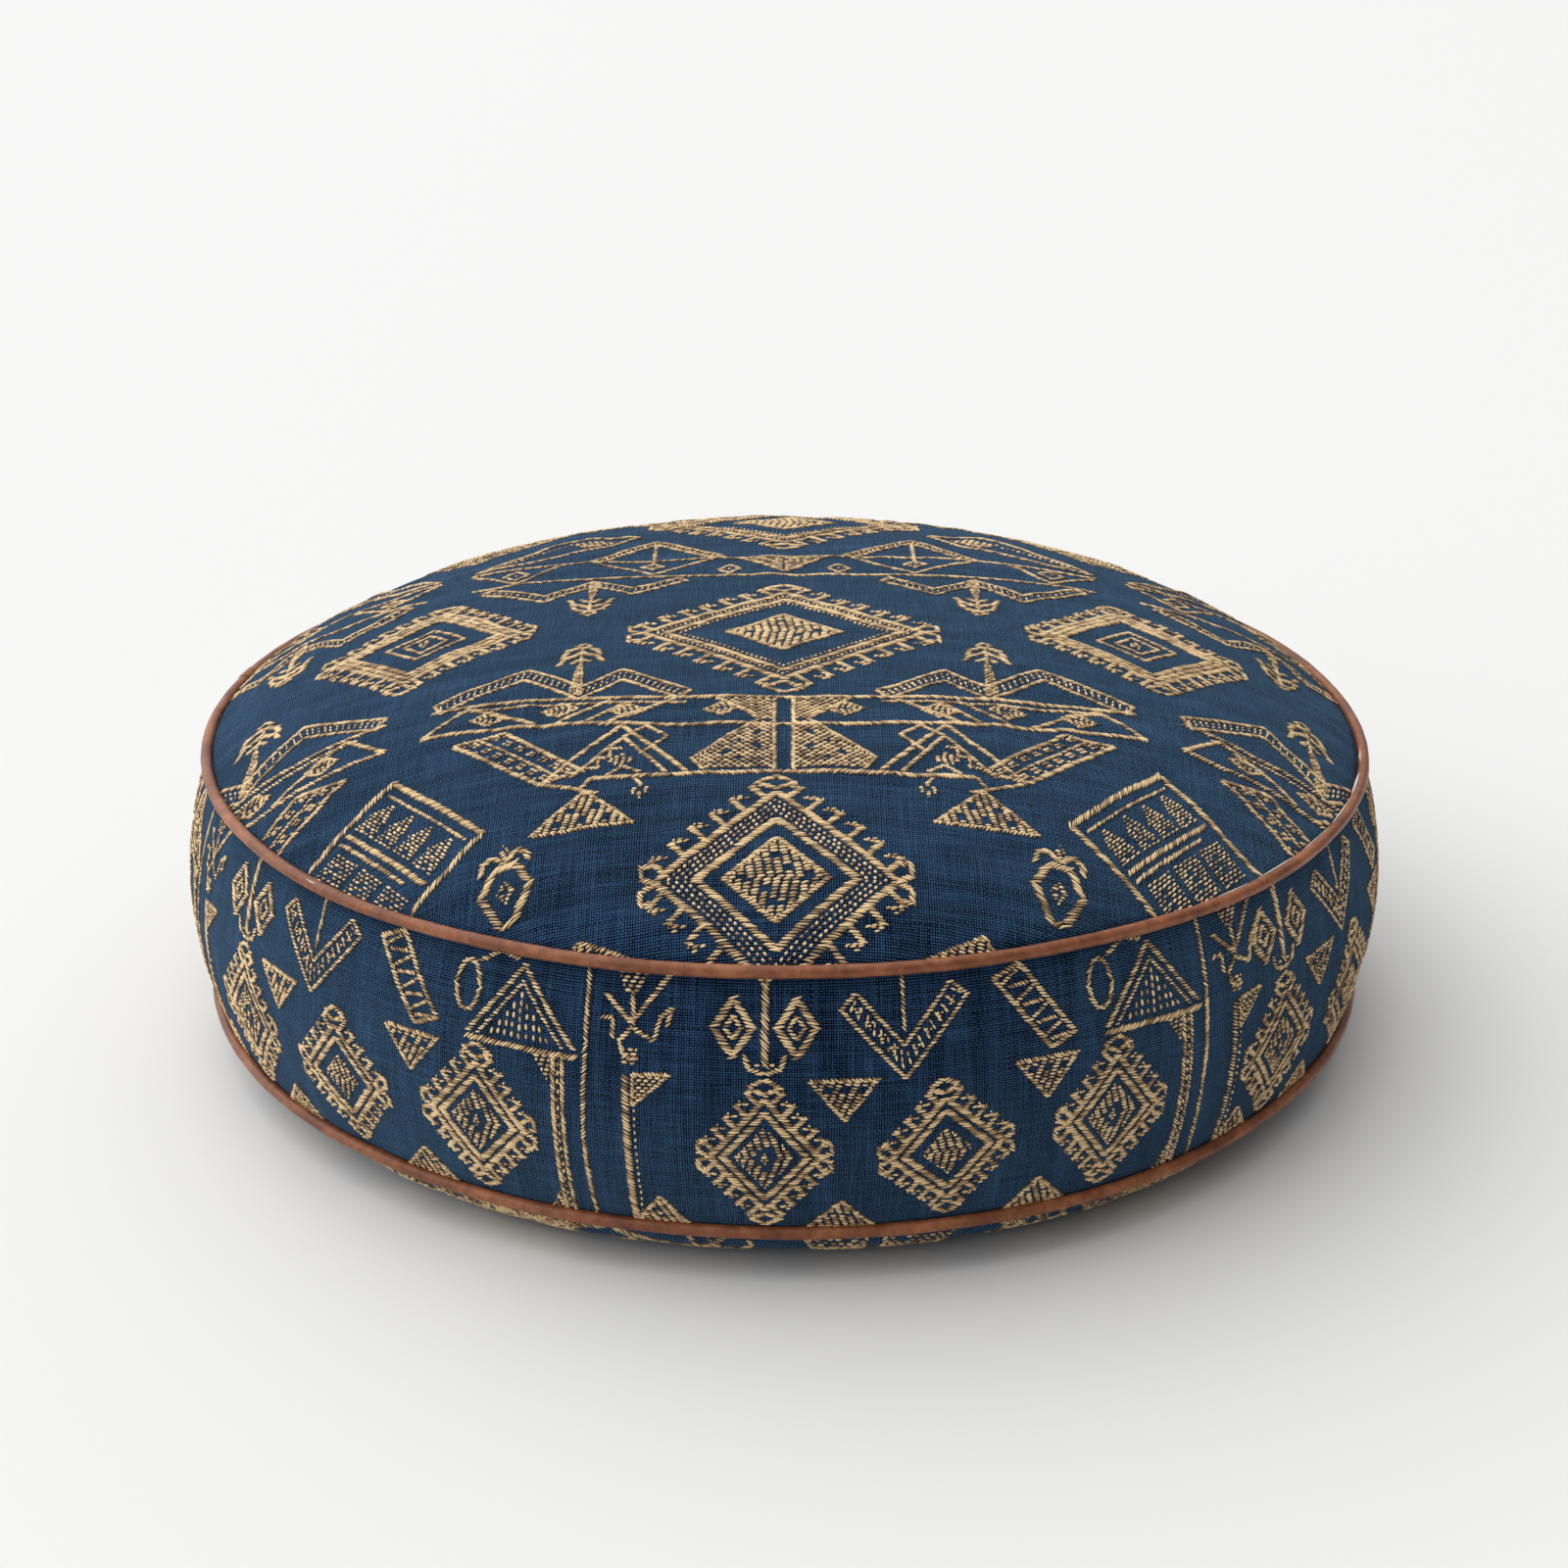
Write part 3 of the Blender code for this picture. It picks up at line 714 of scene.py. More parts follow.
def ribbon(points, wide, hatch=0.0046, line=0.0024):
    """Two lines side by side with slanting bars between them, as on a ladder."""
    points = np.array(points, float)
    way = np.diff(points, axis=0)
    way /= np.hypot(*way.T)[:, None]
    side = np.stack([-way[:, 1], way[:, 0]], -1)
    corner = np.concatenate([side[:1], (side[1:] + side[:-1]) / 2, side[-1:]])
    corner /= np.maximum((corner**2).sum(1), 0.35)[:, None]
    left, right = points + corner * wide / 2, points - corner * wide / 2
    made = [cord_line([*left, *right[::-1]], line, closed=True)]
    for a, b, c, d in zip(left[:-1], left[1:], right[:-1], right[1:]):
        count = max(1, round(float(np.hypot(*(b - a))) / hatch))
        for k in range(count):
            p = a + (b - a) * (k + 0.25) / count
            q = c + (d - c) * (k + 0.8) / count
            p, q = p * 0.78 + q * 0.22, q * 0.78 + p * 0.22
            made.append(running([p, q], 0.0032, 0.0006, wide=0.0014))
    return np.concatenate(made)


def hooks_along(a, b, count, reach, line=0.0026):
    """Hooks standing out of one side of a lozenge, each with a barbed tip turned in to its middle."""
    a, b = np.array(a, float), np.array(b, float)
    side = np.sign(a + b)
    made = []
    for k in range(count):
        foot = a + (b - a) * (k + 0.5) / count
        tip = foot + reach * np.array([0.62, 0.66]) * side
        peak = tip + reach * np.array([-0.24, 0.3]) * side
        end = tip + reach * np.array([-0.74, 0.1]) * side
        spur = tip + reach * np.array([0.16, -0.02]) * side
        made += [
            cord_line([foot - 0.02 * reach * side, tip], line),
            solid([spur, peak, end], pitch=0.0013, length=0.0034),
            running([tip, end], 0.0034, 0.0, wide=0.0013),
        ]
    return np.concatenate(made)


def hooked_lozenge(half_u, half_v, borders, hooks, reach, middle, line=0.0032):
    """The main motif: a bordered lozenge with hooks all round. Borders are (inset, kind) pairs."""
    inradius = half_u * half_v / math.hypot(half_u, half_v)
    made = []
    for inset, kind in borders:
        k = 1 - inset / inradius
        outline = lozenge(half_u * k, half_v * k)
        if kind == "cord":
            made.append(cord_line(outline, line, closed=True))
        else:
            made.append(running(outline, closed=True, wide=0.0018, length=0.0022, space=0.0013))
    corners_out = lozenge(half_u, half_v)
    for k in range(4):
        made.append(hooks_along(corners_out[k], corners_out[(k + 1) % 4], hooks, reach, line * 0.82))
    for way in (1, -1):
        tip = lozenge(reach * 0.75, reach * 0.42, 0, way * (half_v + reach * 0.62))
        made.append(cord_line(tip, line * 0.75, closed=True))
        for side in (1, -1):
            made.append(
                cord_line(
                    [
                        (side * half_u, 0),
                        (side * (half_u + reach * 0.55), way * reach * 0.28),
                        (side * (half_u + reach * 0.55), way * reach * 0.85),
                        (side * (half_u + reach * 0.1), way * reach * 0.72),
                    ],
                    line * 0.75,
                )
            )
    made.append(middle)
    return np.concatenate(made)


def notched_middle(half_u, half_v):
    """A solid lozenge, notched in towards its middle from each side, with four small eyes."""
    holes = [
        lozenge(
            half_u * 0.07, half_v * 0.09, x * half_u * 0.24, y * half_v * 0.24
        ) for x in (1, -1) for y in (1, -1)
    ]
    for way in (1, -1):
        holes.append(
            [
                (-half_u * 0.13, way * half_v * 0.62), (0, way * half_v * 0.4),
                (half_u * 0.13, way * half_v * 0.62),
            ],
        )
        holes.append(
            [
                (way * half_u * 0.66, -half_v * 0.15), (way * half_u * 0.44, 0),
                (way * half_u * 0.66, half_v * 0.15),
            ],
        )
    fill = solid(lozenge(half_u * 0.95, half_v * 0.95), length=0.0044, space=0.0006, holes=holes)
    return np.concatenate([cord_line(lozenge(half_u, half_v), 0.003, closed=True), fill])


def ringed_middle(half_u, half_v):
    """Two nested lozenge lines round a dot."""
    return np.concatenate(
        [
            cord_line(lozenge(half_u, half_v), 0.0026, closed=True),
            cord_line(lozenge(half_u * 0.55, half_v * 0.55), 0.0024, closed=True),
            solid(lozenge(half_u * 0.2, half_v * 0.24)),
        ]
    )


def dotted_triangle(half, high, line=0.0022):
    """A solid triangle standing on its base, with small dark triangles left open in it."""
    outline = [(-half, 0), (0, high), (half, 0)]
    holes = []
    for row, count in ((0.14, 3), (0.44, 2)):
        for k in range(count):
            u = (k - (count - 1) / 2) * half * 0.5
            v = high * row
            holes.append([(u - half * 0.11, v), (u, v + high * 0.17), (u + half * 0.11, v)])
    return np.concatenate([cord_line(outline, line, closed=True), solid(outline, pitch=0.0016, holes=holes)])


def tree_motif(high, head):
    """A stem with two rows of drooping branches under a tip."""
    made = [solid([(-0.0042, 0), (-0.0022, high), (0.0022, high), (0.0042, 0)], length=0.004, space=0.0004)]
    for level, half in ((0.3, 1.0), (0.62, 0.85)):
        v = high + head * level
        made += [
            cord_line(
                [
                    (-0.013 * half, v - 0.007), (-0.01 * half, v + 0.001), (0, v + 0.007),
                    (0.01 * half, v + 0.001), (0.013 * half, v - 0.007),
                ],
                0.0036,
            ),
            cord_line([(-0.006 * half, v - 0.006), (0, v - 0.001), (0.006 * half, v - 0.006)], 0.0028),
        ]
    made += [
        cord_line([(0, high), (0, high + head * 0.8)], 0.0026),
        cord_line(lozenge(0.0045, 0.004, 0, high + head * 0.93), 0.002, closed=True),
    ]
    return np.concatenate(made)


def small_lozenge(u, v, half_u=0.0062, half_v=0.0062):
    return np.concatenate(
        [
            cord_line(lozenge(half_u, half_v, u, v), 0.002, closed=True),
            running([(u - 0.0012, v), (u + 0.0012, v)], 0.0022, 0.001),
        ],
    )


def landscape_half():
    """Half of the long motif between the big lozenges: ridges, a tree, diamonds in a lattice,
    a sloping ladder, nested peaks and a dotted triangle. It is drawn to the right of its middle."""
    upper = [(0.0, -0.1625), (0.06, -0.1605), (0.13, -0.154), (0.201, -0.1445)]
    lower = [(0.0, -0.193), (0.06, -0.19), (0.13, -0.181), (0.204, -0.1715)]
    made = [cord_line(upper, 0.0032), cord_line(lower, 0.0034)]
    made += [
        cord_line([(0.055, -0.1665), (0.13, -0.16), (0.186, -0.152)], 0.0022),
        ribbon(
            [(0.056, -0.157), (0.0925, -0.13), (0.1165, -0.149), (0.149, -0.119), (0.199, -0.142)], 0.0105
        ),
        moved(tree_motif(0.04, 0.03), (0.1185, -0.152)),
        cord_line([(0.204, -0.1715), (0.18, -0.15), (0.14, -0.178)], 0.003),
        cord_line([(0.128, -0.181), (0.098, -0.16)], 0.0026),
        cord_line([(0.098, -0.184), (0.062, -0.162)], 0.0028),
        cord_line([(0.088, -0.164), (0.11, -0.1815)], 0.0024),
    ]
    for u, v in ((0.0345, -0.1755), (0.087, -0.1735), (0.126, -0.1665), (0.1665, -0.1645)):
        made += [
            solid(
                lozenge(0.0105, 0.0075, u, v), pitch=0.0014, length=0.0026,
                holes=[lozenge(0.0026, 0.0022, u, v)],
            ),
            cord_line(lozenge(0.01, 0.0072, u, v), 0.0018, closed=True),
        ]
    # the post beside the middle: solid above and below a narrow waist
    made.append(solid([(0.005, -0.164), (0.037, -0.164), (0.013, -0.187), (0.005, -0.187)]))
    belly = [(0.005, -0.189), (0.012, -0.189), (0.049, -0.224), (0.043, -0.2335), (0.005, -0.2335)]
    slots = [
        [(u, v), (u + 0.0042, v), (u + 0.0042, v + 0.003), (u, v + 0.003)]
        for u, v in ((0.012, -0.203), (0.021, -0.2115), (0.012, -0.2165), (0.031, -0.2215), (0.0215, -0.2265))
    ]
    made += [
        solid(belly, holes=slots),
        cord_line([(0.0052, -0.164), (0.0052, -0.235)], 0.0026),
        cord_line([(0.0375, -0.1635), (0.0135, -0.1875), (0.05, -0.2245), (0.0435, -0.2345)], 0.0022),
        cord_line([(0.0, -0.237), (0.06, -0.2375), (0.104, -0.234)], 0.0032),
    ]
    ladder = [(0.184, -0.1865), (0.156, -0.183), (0.109, -0.228), (0.133, -0.2335)]
    made += [
        cord_line(ladder, 0.003, closed=True),
        cord_line([(0.17, -0.185), (0.121, -0.231)], 0.0018),
    ]
    for k in range(7):
        t = (k + 0.5) / 7
        u, v = 0.17 - 0.049 * t, -0.185 - 0.0455 * t
        made += [
            solid(lozenge(0.0062, 0.0026, u + 0.0062, v - 0.001), pitch=0.0013, length=0.003),
            solid(lozenge(0.0052, 0.0024, u - 0.0068, v + 0.0012), pitch=0.0013, length=0.003),
        ]
    made.append(cord_line([(0.133, -0.2335), (0.1, -0.247)], 0.0026))
    # nested peaks, the inner one stepped
    made += [
        cord_line([(0.13, -0.233), (0.09, -0.1885), (0.053, -0.235)], 0.003),
        cord_line([(0.115, -0.233), (0.0885, -0.2), (0.064, -0.235)], 0.0026),
        cord_line([(0.0885, -0.2), (0.076, -0.1905), (0.064, -0.202), (0.078, -0.217)], 0.0024),
    ]
    steps = [
        (0.108, -0.226), (0.101, -0.226), (0.101, -0.218), (0.095, -0.218), (0.095, -0.2105),
        (0.0885, -0.2105),
    ]
    made += [
        cord_line(steps, 0.0022),
        solid(lozenge(0.0085, 0.0062, 0.0885, -0.2215), pitch=0.0014, length=0.0028),
        cord_line([(0.078, -0.233), (0.087, -0.227), (0.096, -0.233)], 0.0022),
        cord_line([(0.104, -0.234), (0.11, -0.243)], 0.003),
        moved(dotted_triangle(0.0275, 0.027), (0.107, -0.2715)),
        cord_line([(0.08, -0.238), (0.0775, -0.243)], 0.0024),
        solid(
            lozenge(0.0062, 0.0062, 0.077, -0.248), pitch=0.0014, length=0.0026,
            holes=[lozenge(0.0018, 0.0018, 0.077, -0.248)],
        ),
    ]
    return np.concatenate(made)


def far_landscape_half():
    """The same motif on the far side of the middle lozenge, its ridges and tree pointing back."""
    made = [cord_line([(0.0, 0.0385), (0.07, 0.0405), (0.14, 0.043), (0.2, 0.043)], 0.0028)]
    made += [
        cord_line([(0.0, 0.0785), (0.05, 0.0785), (0.12, 0.082), (0.205, 0.083)], 0.0026),
        ribbon([(0.064, 0.032), (0.095, 0.008), (0.121, 0.03), (0.15, 0.006), (0.19, 0.036)], 0.0085),
        moved(tree_motif(0.036, 0.03), (0.12, 0.034), upset=True),
    ]
    # a house of two sloping ladders with a plumb line in it
    made += [
        ribbon([(0.042, 0.08), (0.085, 0.124), (0.124, 0.082)], 0.0065),
        cord_line([(0.045, 0.076), (0.084, 0.046), (0.122, 0.078)], 0.0026),
        cord_line([(0.085, 0.12), (0.085, 0.07)], 0.0028),
        small_lozenge(0.085, 0.064, 0.0072, 0.0062),
        small_lozenge(0.035, 0.052, 0.007, 0.0085),
        small_lozenge(0.174, 0.067, 0.0085, 0.008),
        cord_line([(0.147, 0.078), (0.172, 0.049), (0.203, 0.079)], 0.0028),
        solid([(0.0, 0.0765), (0.026, 0.0765), (0.0, 0.046)], pitch=0.0024, length=0.0034, space=0.0014),
        cord_line([(0.0, 0.0785), (0.0285, 0.0785), (0.0, 0.0455)], 0.0024),
    ]
    # a wing
    made += [
        cord_line([(0.098, 0.146), (0.133, 0.16), (0.152, 0.15), (0.176, 0.118), (0.203, 0.09)], 0.003),
        cord_line([(0.098, 0.146), (0.118, 0.122), (0.14, 0.116), (0.172, 0.094), (0.203, 0.09)], 0.0028),
        solid([(0.112, 0.136), (0.127, 0.148), (0.146, 0.141), (0.132, 0.124)], pitch=0.0023),
        running([(0.146, 0.136), (0.19, 0.098)], 0.003, 0.0016),
    ]
    return np.concatenate(made)


def both_sides(half):
    return np.concatenate([half, moved(half, flip=True)])


def storied_square(side):
    """A square in three storeys: flames, combs and blocks."""
    h = side / 2
    outline = [(-h, -h), (-h, h), (h, h), (h, -h)]
    made = [cord_line(outline, 0.0038, closed=True)]
    made += [
        cord_line([(-h * 0.88, h * 0.14), (h * 0.88, h * 0.14)], 0.003),
        cord_line([(-h * 0.88, h * 0.02), (h * 0.6, h * 0.02)], 0.0022),
        cord_line([(-h * 0.88, h * 0.82), (h * 0.88, h * 0.82)], 0.0018),
    ]
    for k in range(4):
        u = -h * 0.66 + k * h * 0.44
        flame = [
            (u - 0.0086, h * 0.24), (u - 0.006, h * 0.44), (u - 0.008, h * 0.48), (u + 0.001, h * 0.78),
            (u + 0.008, h * 0.5), (u + 0.0056, h * 0.46), (u + 0.0086, h * 0.24),
        ]
        made.append(
            solid(
                flame, length=0.0034, holes=[[(u - 0.0018, h * 0.24), (u, h * 0.42), (u + 0.0018, h * 0.24)]]
            ),
        )
    for k in range(3):
        u = -h * 0.58 + k * h * 0.58
        block = [
            (u - 0.011, -h * 0.58), (u + 0.0085, -h * 0.58), (u + 0.011, -h * 0.08), (u - 0.0085, -h * 0.08)
        ]
        hole = [
            (u - 0.004, -h * 0.46), (u - 0.0004, -h * 0.46), (u + 0.0006, -h * 0.22), (u - 0.003, -h * 0.22)
        ]
        made.append(solid(block, holes=[hole]))
    made.append(cord_line([(-h * 0.88, -h * 0.68), (h * 0.88, -h * 0.68)], 0.003))
    for k in range(5):
        u = -h * 0.72 + k * h * 0.36
        made.append(solid([(u - 0.0062, -h * 0.93), (u, -h * 0.72), (u + 0.0062, -h * 0.93)], length=0.0032))
    return np.concatenate(made)


def beetle():
    """A six-sided body round a small lozenge, with two horns curled down over a pointed head."""
    body = [
        (-0.0125, -0.001), (-0.006, 0.013), (0.006, 0.013), (0.0125, -0.001), (0.0035, -0.019),
        (-0.0035, -0.019),
    ]
    made = [
        cord_line(body, 0.0046, closed=True),
        solid(lozenge(0.0052, 0.0068, 0, -0.002), holes=[lozenge(0.0016, 0.002, 0, -0.002)]),
    ]
    for side in (1, -1):
        made.append(
            cord_line(
                [(0.0, 0.015), (side * 0.0066, 0.0215), (side * 0.012, 0.018), (side * 0.0128, 0.012)], 0.0036
            ),
        )
    made.append(solid([(-0.0056, 0.0175), (0.0, 0.027), (0.0056, 0.0175)], length=0.003))
    return np.concatenate(made)


def round_top():
    """The whole flat pattern of a round panel, by families of motif."""
    middle = hooked_lozenge(
        0.084, 0.071, [(0, "cord"), (0.0048, "dots"), (0.0088, "cord"), (0.0136, "dots")], 7, 0.015,
        notched_middle(0.034, 0.0287), 0.0044,
    )
    front = hooked_lozenge(
        0.0625, 0.0565, [(0, "cord"), (0.0042, "dots"), (0.007, "dots"), (0.0098, "dots"), (0.014, "cord")],
        6, 0.0135, notched_middle(0.027, 0.0243), 0.0044,
    )
    side = hooked_lozenge(
        0.06, 0.052, [(0, "cord"), (0.0042, "cord"), (0.0084, "cord")], 7, 0.0125,
        ringed_middle(0.0245, 0.0212), 0.0042,
    )
    families = {}
    families["lozenges_middle"] = np.concatenate([moved(middle, (0, -0.07)), moved(front, (-0.004, -0.312))])
    families["lozenges_far"] = np.concatenate(
        [
            moved(middle, (0, 0.186)),
            moved(side, (-0.2185, -0.046), -7),
            moved(side, (0.2145, -0.05), 7),
            moved(side, (0.0, 0.425), 0),
        ]
    )
    near_half, far_half = both_sides(landscape_half()), both_sides(far_landscape_half())
    families["landscape_near"] = near_half
    families["landscape_far"] = np.concatenate([far_half, moved(near_half, (0, 0.493))])
    families["landscapes_beside"] = np.concatenate(
        [moved(half, (u, v)) for half in (near_half, far_half) for u, v in ((-0.43, 0.0), (0.43, 0.0))]
    )
    square, insect = storied_square(0.083), beetle()
    families["squares"] = np.concatenate(
        [
            moved(square, (-0.219, -0.26), -47),
            moved(square, (0.211, -0.258), 47),
            moved(square, (-0.215, 0.19), 52),
            moved(square, (0.215, 0.19), -52),
            moved(insect, (-0.145, -0.3), 6),
            moved(insect, (0.143, -0.3015), -6),
            moved(insect, (-0.148, 0.23), 172),
            moved(insect, (0.148, 0.23), 188),
            moved(dotted_triangle(0.03, 0.022), (-0.1, -0.357), 12),
            moved(dotted_triangle(0.026, 0.02), (0.098, -0.354), -12),
        ]
    )
    return families


def boxing_unit():
    """One repeat of the boxing's pattern. It is drawn from its first lozenge, up from the seam."""
    degree = math.radians(1) * ROUND
    ring = solid(lozenge(0.016, 0.0195), holes=[lozenge(0.0072, 0.0088)])
    eye = solid(lozenge(0.003, 0.0038))
    lozenge_a = hooked_lozenge(
        0.0285, 0.0345, [(0, "cord"), (0.005, "cord")], 5, 0.0104, np.concatenate([ring, eye]), 0.0038
    )
    lozenge_b = hooked_lozenge(
        0.03, 0.032, [(0, "cord"), (0.005, "cord")], 5, 0.01, solid(lozenge(0.0135, 0.015)), 0.0038
    )
    made = [
        moved(lozenge_a, (0, 0.051)), moved(lozenge_b, (14.5 * degree, 0.05), 4),
        moved(lozenge_a, (29.0 * degree, 0.053), -2),
    ]
    for at in (6.2, 22.8):
        made += [
            moved(dotted_triangle(0.0175, 0.022), (at * degree, 0.095), upset=True),
            moved(dotted_triangle(0.0175, 0.019), (at * degree, 0.003)),
        ]
    # twin diamonds on an anchor
    made += [
        cord_line([(0, 0.15), (0, 0.103)], 0.0042),
        solid([(-0.008, 0.15), (0.008, 0.15), (0, 0.14)], pitch=0.002),
        cord_line([(-0.0105, 0.109), (-0.0085, 0.102), (0, 0.0985), (0.0085, 0.102), (0.0105, 0.109)], 0.003),
        running([(-0.006, 0.1035), (0.006, 0.1035)], 0.003, 0.0006),
    ]
    for side in (1, -1):
        for inset, line in ((1.0, 0.0042), (0.4, 0.0026)):
            made.append(
                cord_line(lozenge(0.01 * inset, 0.0145 * inset, side * 0.0165, 0.122), line, closed=True)
            )
    # a V of two ladders
    v_at = 11.0 * degree
    made.append(moved(ribbon([(-0.0285, 0.1345), (0.0, 0.103), (0.03, 0.1375)], 0.0112), (v_at, 0)))
    for k in range(4):
        t = (k + 0.9) / 4.6
        made += [
            solid(
                lozenge(0.0036, 0.0032, v_at - 0.0285 * t, 0.1035 + 0.031 * t), pitch=0.0013, length=0.0024
            ),
            solid(lozenge(0.0036, 0.0032, v_at + 0.03 * t, 0.1035 + 0.034 * t), pitch=0.0013, length=0.0024),
        ]
    made += [
        cord_line([(v_at, 0.15), (v_at, 0.119)], 0.0024),
        cord_line([(v_at - 0.012, 0.15), (v_at + 0.012, 0.15)], 0.0028),
    ]
    # a leaning ladder, a loop and a hatched hill
    slab = [(18.6 * degree, 0.139), (20.9 * degree, 0.145), (25.3 * degree, 0.106), (23.2 * degree, 0.1)]
    made.append(cord_line(slab, 0.003, closed=True))
    for k in range(8):
        t = (k + 0.5) / 8
        u, v = (19.75 + 4.5 * t) * degree, 0.142 - 0.039 * t
        made.append(
            cord_line(
                [(u - 0.0055, v - 0.004 + 0.003 * (k % 2)), (u + 0.006, v + 0.0035 - 0.003 * (k % 2))], 0.002
            ),
        )
    loop = [
        (
            28.0 * degree + 0.0072 * math.cos(a), 0.127 + 0.0125 * math.sin(a)
        ) for a in np.linspace(0, 2 * math.pi, 13)[:-1]
    ]
    made += [
        cord_line(loop, 0.003, closed=True),
        cord_line([(28.8 * degree, 0.1395), (30.6 * degree, 0.1465), (32.4 * degree, 0.144)], 0.0026),
    ]
    hill = 33.0 * degree
    for inset, line in ((1.0, 0.003), (0.8, 0.002)):
        made.append(
            cord_line(
                [
                    (hill - 0.031 * inset, 0.1035), (hill, 0.102 + 0.04 * inset),
                    (hill + 0.031 * inset, 0.1035),
                ],
                line,
            ),
        )
    made.append(cord_line([(hill - 0.032, 0.101), (hill + 0.033, 0.1)], 0.0034))
    for k in range(11):
        u = (k - 5) * 0.0042
        peak = 0.1005 + 0.029 * (1 - abs(u) / 0.0235)
        if peak > 0.1075:
            made.append(running([(hill + u, 0.1045), (hill + u * 0.9, peak)], 0.0034, 0.0011, wide=0.0016))
    # three long stripes with flags
    first, second, third = 36.0 * degree, 38.6 * degree, 42.0 * degree
    made += [
        cord_line([(first, 0.1), (first + 0.001, 0.0)], 0.0028),
        cord_line([(first + 0.0052, 0.1), (first + 0.0058, 0.0)], 0.0024),
        running([(first + 0.0028, 0.098), (first + 0.0034, 0.004)], 0.0028, 0.0022),
        solid([(first - 0.01, 0.0), (first, 0.02), (first, 0.0)], pitch=0.0024),
        solid([(first - 0.012, 0.1), (first - 0.001, 0.0985), (first - 0.002, 0.083)], pitch=0.0024),
        cord_line(
            [(second, 0.15), (second + 0.0006, 0.11), (second - 0.0008, 0.055), (second + 0.001, 0.0)], 0.0026
        ),
        cord_line([(third, 0.0945), (third + 0.0014, 0.0)], 0.0042, slant=58),
        running([(third + 0.0046, 0.09), (third + 0.0058, 0.004)], 0.002, 0.0022),
    ]
    flag = [(third + 0.004, 0.095), (third + 0.023, 0.0965), (third + 0.004, 0.078)]
    made += [
        cord_line(flag, 0.0022, closed=True),
        solid(flag, pitch=0.0019, length=0.003),
        moved(dotted_triangle(0.014, 0.0185), (third + 0.016, 0.003)),
    ]
    # a knot with a block hanging from the seam
    knot = 42.4 * degree
    made += [
        solid(
            [(knot - 0.011, 0.15), (knot + 0.011, 0.15), (knot + 0.004, 0.136), (knot - 0.004, 0.136)],
            pitch=0.0021,
        ),
        cord_line([(knot, 0.137), (knot + 0.001, 0.118)], 0.0028),
        cord_line([(knot - 0.015, 0.135), (knot, 0.1215), (knot + 0.021, 0.148)], 0.003),
        cord_line([(knot - 0.017, 0.123), (knot - 0.01, 0.123), (knot - 0.01, 0.113)], 0.0026),
        cord_line(
            [(knot, 0.119), (knot - 0.006, 0.112), (knot - 0.004, 0.104), (knot + 0.004, 0.103)], 0.0026
        ),
        cord_line(
            [
                (knot + 0.001, 0.119), (knot + 0.012, 0.113), (knot + 0.015, 0.125), (knot + 0.021, 0.13),
                (knot + 0.019, 0.121),
            ],
            0.0026,
        ),
        solid(
            [(knot - 0.005, 0.1), (knot + 0.005, 0.1), (knot + 0.004, 0.108), (knot - 0.004, 0.108)],
            pitch=0.0022,
        ),
    ]
    return np.concatenate(made)


BOXING_REPEATS = (-159.5, -107.0, -54.5, -1.5, 47.5, 98.5, 149.5)  # degrees from the front


# The same for every line of the pattern: one stitch, rounded and pinched at its ends, is set
# down at each place on the sewn cloth.

STITCH_FOOT = -0.42  # the stitch's flat underside, in its own heights
STITCH_HIGH = 0.0016


def one_stitch():
    """A stitch one unit long, wide and high, lying along X with its flat underside down."""
    made = bpy.data.meshes.new("stitch")
    rounds = [
        (-0.5, 0.3, -0.32), (-0.3, 0.86, 0.62), (0.06, 1.0, 1.0), (0.34, 0.82, 0.62), (0.5, 0.26, -0.34)
    ]
    verts, faces = [], []
    for x, broad, high in rounds:
        verts += [(x, -0.5 * broad, STITCH_FOOT), (x, -0.3 * broad, 0.3 * high)]
        verts += [(x, 0.3 * broad, 0.3 * high + 0.05), (x, 0.5 * broad, STITCH_FOOT)]
    for k in range(len(rounds) - 1):
        for side in range(3):
            a = 4 * k + side
            faces.append((a, a + 4, a + 5, a + 1))
    faces += [(0, 1, 2, 3), (19, 18, 17, 16)]
    made.from_pydata(verts, [], faces)
    made.shade_smooth()
    # painted highlight and shade: crown is 1 along the stitch's top, 0 along its foot and lower at its pinched
    # ends
    crown = [level * out for _, out, _ in rounds for level in (0.0, 1.0, 1.0, 0.0)]
    made.attributes.new("crown", "FLOAT", "POINT").data.foreach_set("value", crown)
    return bpy.data.objects.new("stitch", made)


def gold_cotton():
    """Loosely twisted gold yarn: pale where the fibres catch the light, each stitch its own shade, with a
    painted highlight on its crown and painted shade along its foot and ends.
    """
    plain = {"Roughness": 0.62, "Specular IOR Level": 0.35, "Sheen Weight": 0.45, "Sheen Roughness": 0.4}
    made, tree, shader = new_finish("gold_yarn_cotton", {**plain, "Sheen Tint": (1.0, 0.86, 0.62, 1)})
    shade, crown = (
        node(tree, "ShaderNodeAttribute", attribute_name=name).outputs["Fac"] for name in ("shade", "crown")
    )
    place = node(tree, "ShaderNodeTexCoord").outputs["Object"]
    fibres = noise(tree, place, 900.0, 2.0, 0.6)
    # the crown term paints a highlight on each stitch's top and shade along its foot and ends
    for part, share in ((fibres, 0.42), (noise(tree, place, 22.0, 2.0), 0.45), (crown, 0.62)):
        shade = sums(tree, "MULTIPLY_ADD", part, share, shade)
    coloured(
        tree,
        shader,
        sums(tree, "MULTIPLY", shade, 0.74),
        (0.56, (0.045, 0.026, 0.014)),
        (1.0, (0.9, 0.66, 0.36)),
        (0.8, (0.36, 0.225, 0.105)),
    )
    raised(tree, shader, fibres, 0.6, 0.0003)
    return made


